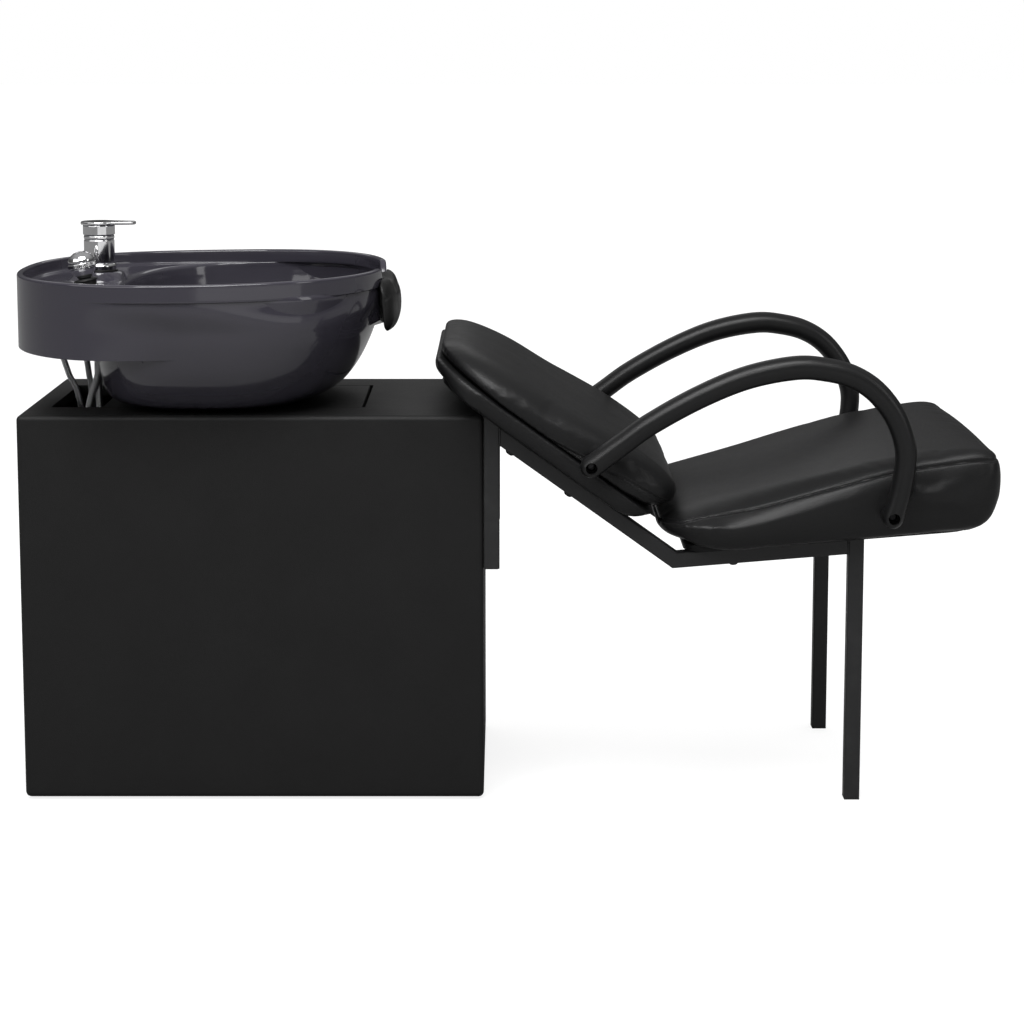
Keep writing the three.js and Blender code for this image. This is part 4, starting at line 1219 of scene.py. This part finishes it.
def make_cross_tubes():
    inside = TUBE_Y - TUBE_HALF - 0.3
    for name, frame_of_pad, u in (
            ("back", BACK_FRAME, 110.0), ("seat", SEAT_FRAME, 40.0), ("front", SEAT_FRAME, 226.0)):
        _, along, out = frame_of_pad
        centre = on_frame(frame_of_pad, u, -TUBE_HALF)

        def across(section, y):
            x_z = centre + section[:, :1] * along + section[:, 1:] * out
            return np.insert(x_z, 1, y, axis=1)

        walls = tube_walls(lambda section: [across(section, y) for y in (-inside, inside)])
        piece(f"tie_tube_{name}", *walls, STEEL, "base", "frame_steel", (f"cross_tube_{name}",), sharp=35,
              weighted=True)
        collar = square_section(TUBE_HALF + 0.1, 3.0)
        for side, sign in SIDES:
            weld_bead(f"tie_weld_{name}_{side}", across(collar, sign * inside), 1.2)


def bolt_head(name, place, radius, height, nodes, socket=2.4):
    """A button head with a hex socket; place takes points whose Z is the way the head faces."""
    sides = 48
    profile = softened([[0, 0], [radius, 0], [radius, height * 0.3], [radius * 0.72, height * 0.86],
                        [socket + 0.9, height], [socket, height - 0.3]], 0.5, 3)
    rings = [disc(max(r, 0.01), z, sides) for r, z in profile]
    hexed = hexagon(once_round(sides), 1.88 * socket)
    rings += [disc(hexed, height - 0.35, sides), disc(hexed, height * 0.35, sides)]
    rings.append(disc(0.01, height * 0.3, sides))
    verts, faces = skin(np.array(rings))
    piece(name, place(verts), faces, BLACK_ZINC, "base", "zinc", nodes, sharp=35)


def make_frame_bolts():
    for name, (origin, along, out), distance in (
            ("back_upper", BACK_FRAME, 48), ("back_lower", BACK_FRAME, 148), ("seat", SEAT_FRAME, 82)):
        centre = origin + distance * along - (TUBE_HALF + 0.3) * out
        for side, sign in SIDES:
            def place(p):
                x_z = centre + p[:, :1] * along - p[:, 2:] * out
                return np.insert(x_z, 1, sign * TUBE_Y - p[:, 1], axis=1)

            bolt_head(f"{name}_button_{side}", place, 6.4, 3.2, (f"{name}_bolt_{side}",))


make_rails_and_legs()
make_cross_tubes()
make_frame_bolts()


# ---- Armrests ----
ARM_LINE = np.array([
    [131, 490], [170, 519], [211, 548.6], [276, 585], [341, 612], [406, 625], [450, 622], [485, 612],
    [515, 592], [540, 560], [554, 524], [556, 494], [550, 455], [540.5, 420.5]])
ARM_Y, ARM_HALF_WIDTH, ARM_END = 269.2, 17.6, 15.0


def arm_rings(sign):
    """Sections along the loop, with round ends that shrink along a circle past each bolt."""
    line = even(spline(ARM_LINE, 420), 170)
    tangent = np.gradient(line, axis=0)
    tangent /= np.linalg.norm(tangent, axis=1)[:, None]
    # Half height in the loop's plane: full over the top, slimmer down the front.
    run = np.linspace(0, 1, len(line))
    high = np.interp(run, [0, 0.12, 0.5, 0.72, 0.9, 1], [15.2, 15.0, 16.4, 15.4, 14.2, 14.6])
    past = np.linspace(-1, 0, 10)[:-1]
    stations = [(0, p) for p in past] + [(i, 0.0) for i in range(len(line))] + [(-1, -p) for p in past[::-1]]
    c, s = np.cos(once_round(48)), np.sin(once_round(48))
    rings = []
    for i, p in stations:
        shrink = math.sqrt(max(0.0, 1 - p * p))
        (x, z), (tx, tz) = line[i] + tangent[i] * p * ARM_END, tangent[i]
        up = signed_power(c, 0.92) * high[i] * max(shrink, 0.04)
        out = signed_power(s, 0.92) * ARM_HALF_WIDTH * max(shrink ** 0.55, 0.04)
        rings.append(np.stack([x - tz * up, sign * ARM_Y + out, z + tx * up], 1))
    return np.array(rings)


def make_arms():
    ends = (("rear", ARM_LINE[0]), ("front", ARM_LINE[-1]))
    for side, sign in SIDES:
        verts, faces = skin(arm_rings(sign))
        arm = piece(f"arm_pad_{side}", verts, faces, ARM_SKIN, "base", "arm_skin", (f"armrest_{side}",))
        bosses = [crosswise_rod(13.6, *sorted((sign * 249.2, sign * 262)), x, z, 48) for _, (x, z) in ends]
        pockets = [crosswise_rod(7.9, *sorted((sign * 263.2, sign * 300)), x, z, 48) for _, (x, z) in ends]
        cut(arm, [join(bosses)], "UNION")
        cut(arm, [join(pockets)])
        smooth(arm, 38)
        for end, (x, z) in ends:
            def place(p):
                return np.stack([x + p[:, 0] * sign, sign * (263.3 + p[:, 2]), z + p[:, 1]], 1)

            bolt_head(f"arm_screw_{end}_{side}", place, 6.9, 4.6, (f"arm_bolt_{end}_{side}",), socket=3.0)


make_arms()


# ---- Cushions: closed forms swollen by cloth pressure, with their seams drawn in afterwards ----
# Side outlines: how far along the rail, and how far above its top face.
BACK_COVER = [
    [-108, 17], [-98, 11.5], [-60, 10.6], [60, 10.6], [200, 10.6], [240, 13], [253, 22], [246, 29], [100, 29],
    [-60, 29], [-106, 28.4], [-112, 24]]
BACK_PAD = [
    [-117, 41], [-111, 32], [-92, 30], [-40, 29.9], [100, 29.9], [236, 30.3], [259, 40], [271, 57], [262, 74],
    [225, 83], [150, 83], [50, 73], [-20, 69], [-60, 64], [-90, 57.5], [-108, 50]]
SEAT_PAD = [
    [-25, 48], [-22, 38], [-11, 27], [12, 17.5], [44, 12], [90, 10.8], [220, 10.8], [380, 12], [432, 17],
    [449, 40], [455, 68], [455, 92], [448, 109], [428, 115.5], [380, 114], [300, 107], [200, 89], [110, 71],
    [40, 59], [4, 54], [-16, 51.5]]
ARM_ENDS = [[x, sign * 249.0, z] for x, z in (ARM_LINE[0], ARM_LINE[-1]) for _, sign in SIDES]
PAD_LIMIT = 247.8       # just clear of the armrests' bosses


def closed_outline(points, count):
    line = spline(points, 1200, closed=True)
    return even(np.vstack([line, line[:1]]), count + 1)[:-1]


def faces_of_outline(line):
    """Top and bottom heights as functions of u."""
    first, last = int(np.argmin(line[:, 0])), int(np.argmax(line[:, 0]))
    ordered = np.roll(line, -first, axis=0)
    split = (last - first) % len(line)
    lower, upper = ordered[:split + 1], np.vstack([ordered[split:], ordered[:1]])
    if lower[:, 1].mean() > upper[:, 1].mean():
        lower, upper = upper, lower

    def height(u, part):
        part = part[np.argsort(part[:, 0])]
        return np.interp(u, part[:, 0], part[:, 1])

    return lambda u: (height(u, lower), height(u, upper))


def round_off(y, half, radius):
    """How much of the full size is left this near to a rounded edge: 1 inside, 0 at the edge."""
    near = np.clip((abs(y) - (half - radius)) / radius, 0.0, 1.0)
    return np.sqrt(1 - near ** 2)


def pad_form(frame_of_pad, points, half, top_radii, low_radius, corners, crown, widest, skirt):
    """Rings across the chair: soft upper edge, tighter lower one, drawn-in plan corners and a crowned face.

    top_radii and corners are given for the head or rear end and for the other end, widest is the share of
    the height where the side stands furthest out, and skirt is how far the side hangs past the board.
    """
    line = closed_outline(points, 220)
    low, high = faces_of_outline(line)(line[:, 0])
    pivot = low + (high - low) * widest
    u_mid = (line[:, 0].min() + line[:, 0].max()) / 2
    u_reach = (line[:, 0].max() - line[:, 0].min()) / 2
    along = (line[:, 0] - u_mid) / u_reach
    above = line[:, 1] > pivot
    top_radius = top_radii[0] + (top_radii[1] - top_radii[0]) * smoothstep(along, -0.8, 0.5)
    facing_up = smoothstep(line[:, 1] - pivot, 0, (high - pivot).max() * 0.6)
    steps = half * np.sin(np.linspace(0, math.pi / 2, 46))
    rings = []
    for y in np.concatenate([-steps[:0:-1], steps]):
        y = float(np.clip(y, -half * 0.99965, half * 0.99965))
        inset = [corner * (1 - round_off(y, half, corner)) for corner in corners]
        shift = np.where(along < 0, inset[0], inset[1]) / u_reach
        u = u_mid + (line[:, 0] - u_mid) * (1 - shift)
        lift = crown * (1 - (y / half) ** 2) * facing_up * (1 - np.maximum(-along, along * 0.8) ** 6)
        hang = skirt * float(smoothstep(abs(y), 203, 214)) * smoothstep(-np.abs(along), -0.97, -0.85)
        lift = lift - hang * ~above
        scale = np.where(above, round_off(y, half, top_radius), round_off(y, half, low_radius))
        x_z = on_frame(frame_of_pad, u, pivot + (line[:, 1] + lift - pivot) * scale)
        rings.append(np.insert(x_z, 1, y, axis=1))
    return np.array(rings)


def pad_object(name, rings, voxel):
    pad = tool(name, *skin(rings))
    remesh = pad.modifiers.new("even", "REMESH")
    remesh.mode = "VOXEL"
    remesh.voxel_size = voxel * MM
    remesh.use_smooth_shade = True
    applied(pad)
    return pad


def coordinates(mesh):
    co = np.zeros(len(mesh.vertices) * 3)
    mesh.vertices.foreach_get("co", co)
    return co.reshape(-1, 3)


def swollen(pad, cap, pressure=4.0):
    """Blows the pad up as closed cloth for 20 frames and keeps at most cap millimetres of the movement."""
    scene = bpy.context.scene
    rest = coordinates(pad.data)
    cloth = pad.modifiers.new("cloth", "CLOTH")
    cloth.settings.use_pressure = True
    cloth.settings.uniform_pressure_force = pressure
    cloth.settings.effector_weights.gravity = 0.0
    cloth.settings.quality = 4
    cloth.settings.bending_stiffness = 0.6
    cloth.point_cache.frame_start, cloth.point_cache.frame_end = 1, 20
    for number in range(1, 21):
        scene.frame_set(number)
    moved = coordinates(pad.evaluated_get(bpy.context.evaluated_depsgraph_get()).data)
    pad.modifiers.remove(cloth)
    scene.frame_set(1)
    shift = moved - rest
    length = np.linalg.norm(shift, axis=1)
    keep = np.minimum(1.0, cap * MM / np.maximum(length, 1e-9))
    pad.data.vertices.foreach_set("co", (rest + shift * keep[:, None]).ravel())


def smoothed(pad, turns, factor=0.5):
    mod = pad.modifiers.new("smooth", "SMOOTH")
    mod.factor, mod.iterations = factor, turns
    applied(pad)


def subdivided(pad):
    mod = pad.modifiers.new("finer", "SUBSURF")
    mod.levels = mod.render_levels = 1
    applied(pad)


def normals_of(mesh):
    n = np.zeros(len(mesh.vertices) * 3)
    mesh.vertices.foreach_get("normal", n)
    return n.reshape(-1, 3)


def pad_place(co, origin, forward, up):
    """Lengthwise and upward millimetres of each vertex in the pad's own frame."""
    flat = co[:, [0, 2]] / MM - origin
    return flat @ forward, flat @ up - TUBE_HALF


def sewn(pad, frame_of_pad, seam_height, depth=1.3, width=2.6):
    """Draws the surface in along one seam round the side and stores how far each point is from it."""
    co = coordinates(pad.data)
    normals = normals_of(pad.data)
    if seam_height is None:
        distance, along = np.full(len(co), 1.0), np.zeros(len(co))
    else:
        u, v = pad_place(co, *frame_of_pad)
        upright = np.abs(normals[:, [0, 2]] @ frame_of_pad[2])
        gap = np.abs(v - seam_height(u)) / np.sqrt(np.maximum(1 - upright ** 2, 0.05))
        distance = gap * MM
        middle = (u.min() + u.max()) / 2
        across = np.abs(co[:, 1]) / MM
        along = np.where(u > middle, u - across, u + across) * MM + 1.0
        pinch = np.exp(-(gap / width) ** 2)[:, None]
        co = co - normals * depth * MM * pinch
        pad.data.vertices.foreach_set("co", co.ravel())
    for key, values in (("seam_distance", distance), ("seam_along", along)):
        layer = pad.data.attributes.new(key, "FLOAT", "POINT")
        layer.data.foreach_set("value", values.astype(np.float32))


def pressed(pad, spots, radius, depth):
    """Sinks the side panels where the armrests' bosses bear on them."""
    co = coordinates(pad.data)
    for spot in spots:
        gap = np.linalg.norm(co - np.array(spot) * MM, axis=1)
        push = depth * MM * (1 - smoothstep(gap, radius * MM * 0.4, radius * MM))
        co[:, 1] -= np.sign(spot[1]) * push
    pad.data.vertices.foreach_set("co", co.ravel())


def kept_inside(pad, frame_of_pad, floor):
    """No part of a pad reaches the armrests beside it or the board and rails under it."""
    up = frame_of_pad[2]
    co = coordinates(pad.data)
    co[:, 1] = np.clip(co[:, 1], -PAD_LIMIT * MM, PAD_LIMIT * MM)
    sunk = np.minimum(pad_place(co, *frame_of_pad)[1] - floor, 0.0) * MM * (np.abs(co[:, 1]) < 0.206)
    co[:, 0] -= sunk * up[0]
    co[:, 2] -= sunk * up[1]
    pad.data.vertices.foreach_set("co", co.ravel())


def seat_seam(u):
    """A seam just under the upper edge, level round the two ends."""
    top = faces_of_outline(closed_outline(SEAT_PAD, 300))(np.clip(u, 12, 436))[1]
    return top - 6.0 - 6.0 * smoothstep(u, 20, 140)


def back_seam(u):
    """Hidden in the joint with the cover at the top, rising away from it towards the hips."""
    return 27.0 + 24.0 * smoothstep(u, 20, 250)


def make_cushion(name, node, frame_of_pad, points, voxel, swell, fill, seam, floor, **form):
    """One padded piece: formed, remeshed, blown up by at most swell, and sewn; floor is its lowest height."""
    pad = pad_object(name, pad_form(frame_of_pad, points, **form), voxel)
    smoothed(pad, 3)
    swollen(pad, swell)
    smoothed(pad, 2)
    subdivided(pad)
    pressed(pad, ARM_ENDS, 58.0, 1.8)
    sewn(pad, frame_of_pad, seam)
    kept_inside(pad, frame_of_pad, floor)
    smooth(pad)
    dressed(pad, LEATHER, "base", (node,))


make_cushion("seat_cushion_leather", "seat_cushion", SEAT_FRAME, SEAT_PAD, voxel=5.0, swell=3.0, fill=0.85,
             seam=seat_seam, floor=10.6, half=246.5, top_radii=(86, 22), low_radius=16, corners=(88, 30),
             crown=10.0, widest=0.5, skirt=5.5)
make_cushion("back_cushion_leather", "back_cushion", BACK_FRAME, BACK_PAD, voxel=4.0, swell=2.5, fill=0.8,
             seam=back_seam, floor=29.6, half=246.5, top_radii=(60, 46), low_radius=3, corners=(125, 62),
             crown=3.0, widest=0.3, skirt=0.0)
make_cushion("back_cover_leather", "back_cover", BACK_FRAME, BACK_COVER, voxel=3.0, swell=0.8, fill=0.4,
             seam=None, floor=10.4, half=245.5, top_radii=(2, 2), low_radius=10, corners=(90, 54), crown=0.0,
             widest=0.6, skirt=6.0)


# ---- Boards, stained black, with the leather turned over their edges ----
BOARD_HALF = 205
# How far in from the plan's outline, and how high.
BOARD_EDGE = [(30, 0.5), (10, 0.45), (3.6, 0.45), (3.0, 1.0), (3.0, 9.4), (3.6, 9.9), (10, 9.9), (30, 9.9)]
STRIP_EDGE = [(2.7, 0.5), (1.2, 0.4), (0.3, 0.9), (0, 1.9), (0, 8.4), (0.3, 9.5), (1.2, 10.1), (2.7, 10.2)]


def plan_ring(u0, u1, half, radius, inset, v, steps=6):
    """A level rounded rectangle in a pad's own frame, drawn in by inset."""
    r = max(radius - inset, 0.4)
    ring = []
    for cu, cy, first in ((u1, half, 0), (u0, half, 1), (u0, -half, 2), (u1, -half, 3)):
        cu, cy = cu - math.copysign(inset + r, cu - (u0 + u1) / 2), cy - math.copysign(inset + r, cy)
        for a in np.linspace(first, first + 1, steps) * math.pi / 2:
            ring.append([cu + r * math.cos(a), cy + r * math.sin(a), v])
    return ring


def make_board(name, frame_of_pad, u0, u1, corner):
    normal = frame_of_pad[2]
    plywood = plywood_material(f"plywood_{name}", (float(normal[0]), 0.0, float(normal[1])))
    for part, edge, ends, material, slot, nodes, sharp in (
            ("ply", BOARD_EDGE, "cap", plywood, "plywood", (f"{name}_board",), 40),
            ("leather", STRIP_EDGE, "join", WRAP_EDGE, "faux_leather", (), 60)):
        rings = np.array([plan_ring(u0, u1, BOARD_HALF, corner, inset, v) for inset, v in edge])
        verts, faces = skin(rings, ends)
        x_z = on_frame(frame_of_pad, verts[:, 0], verts[:, 2])
        verts = np.insert(x_z, 1, verts[:, 1], axis=1)
        piece(f"{name}_board_{part}", verts, faces, material, "base", slot, nodes, sharp=sharp)


make_board("back", BACK_FRAME, -85, 235, 70)
make_board("seat", SEAT_FRAME, 14, 420, 40)
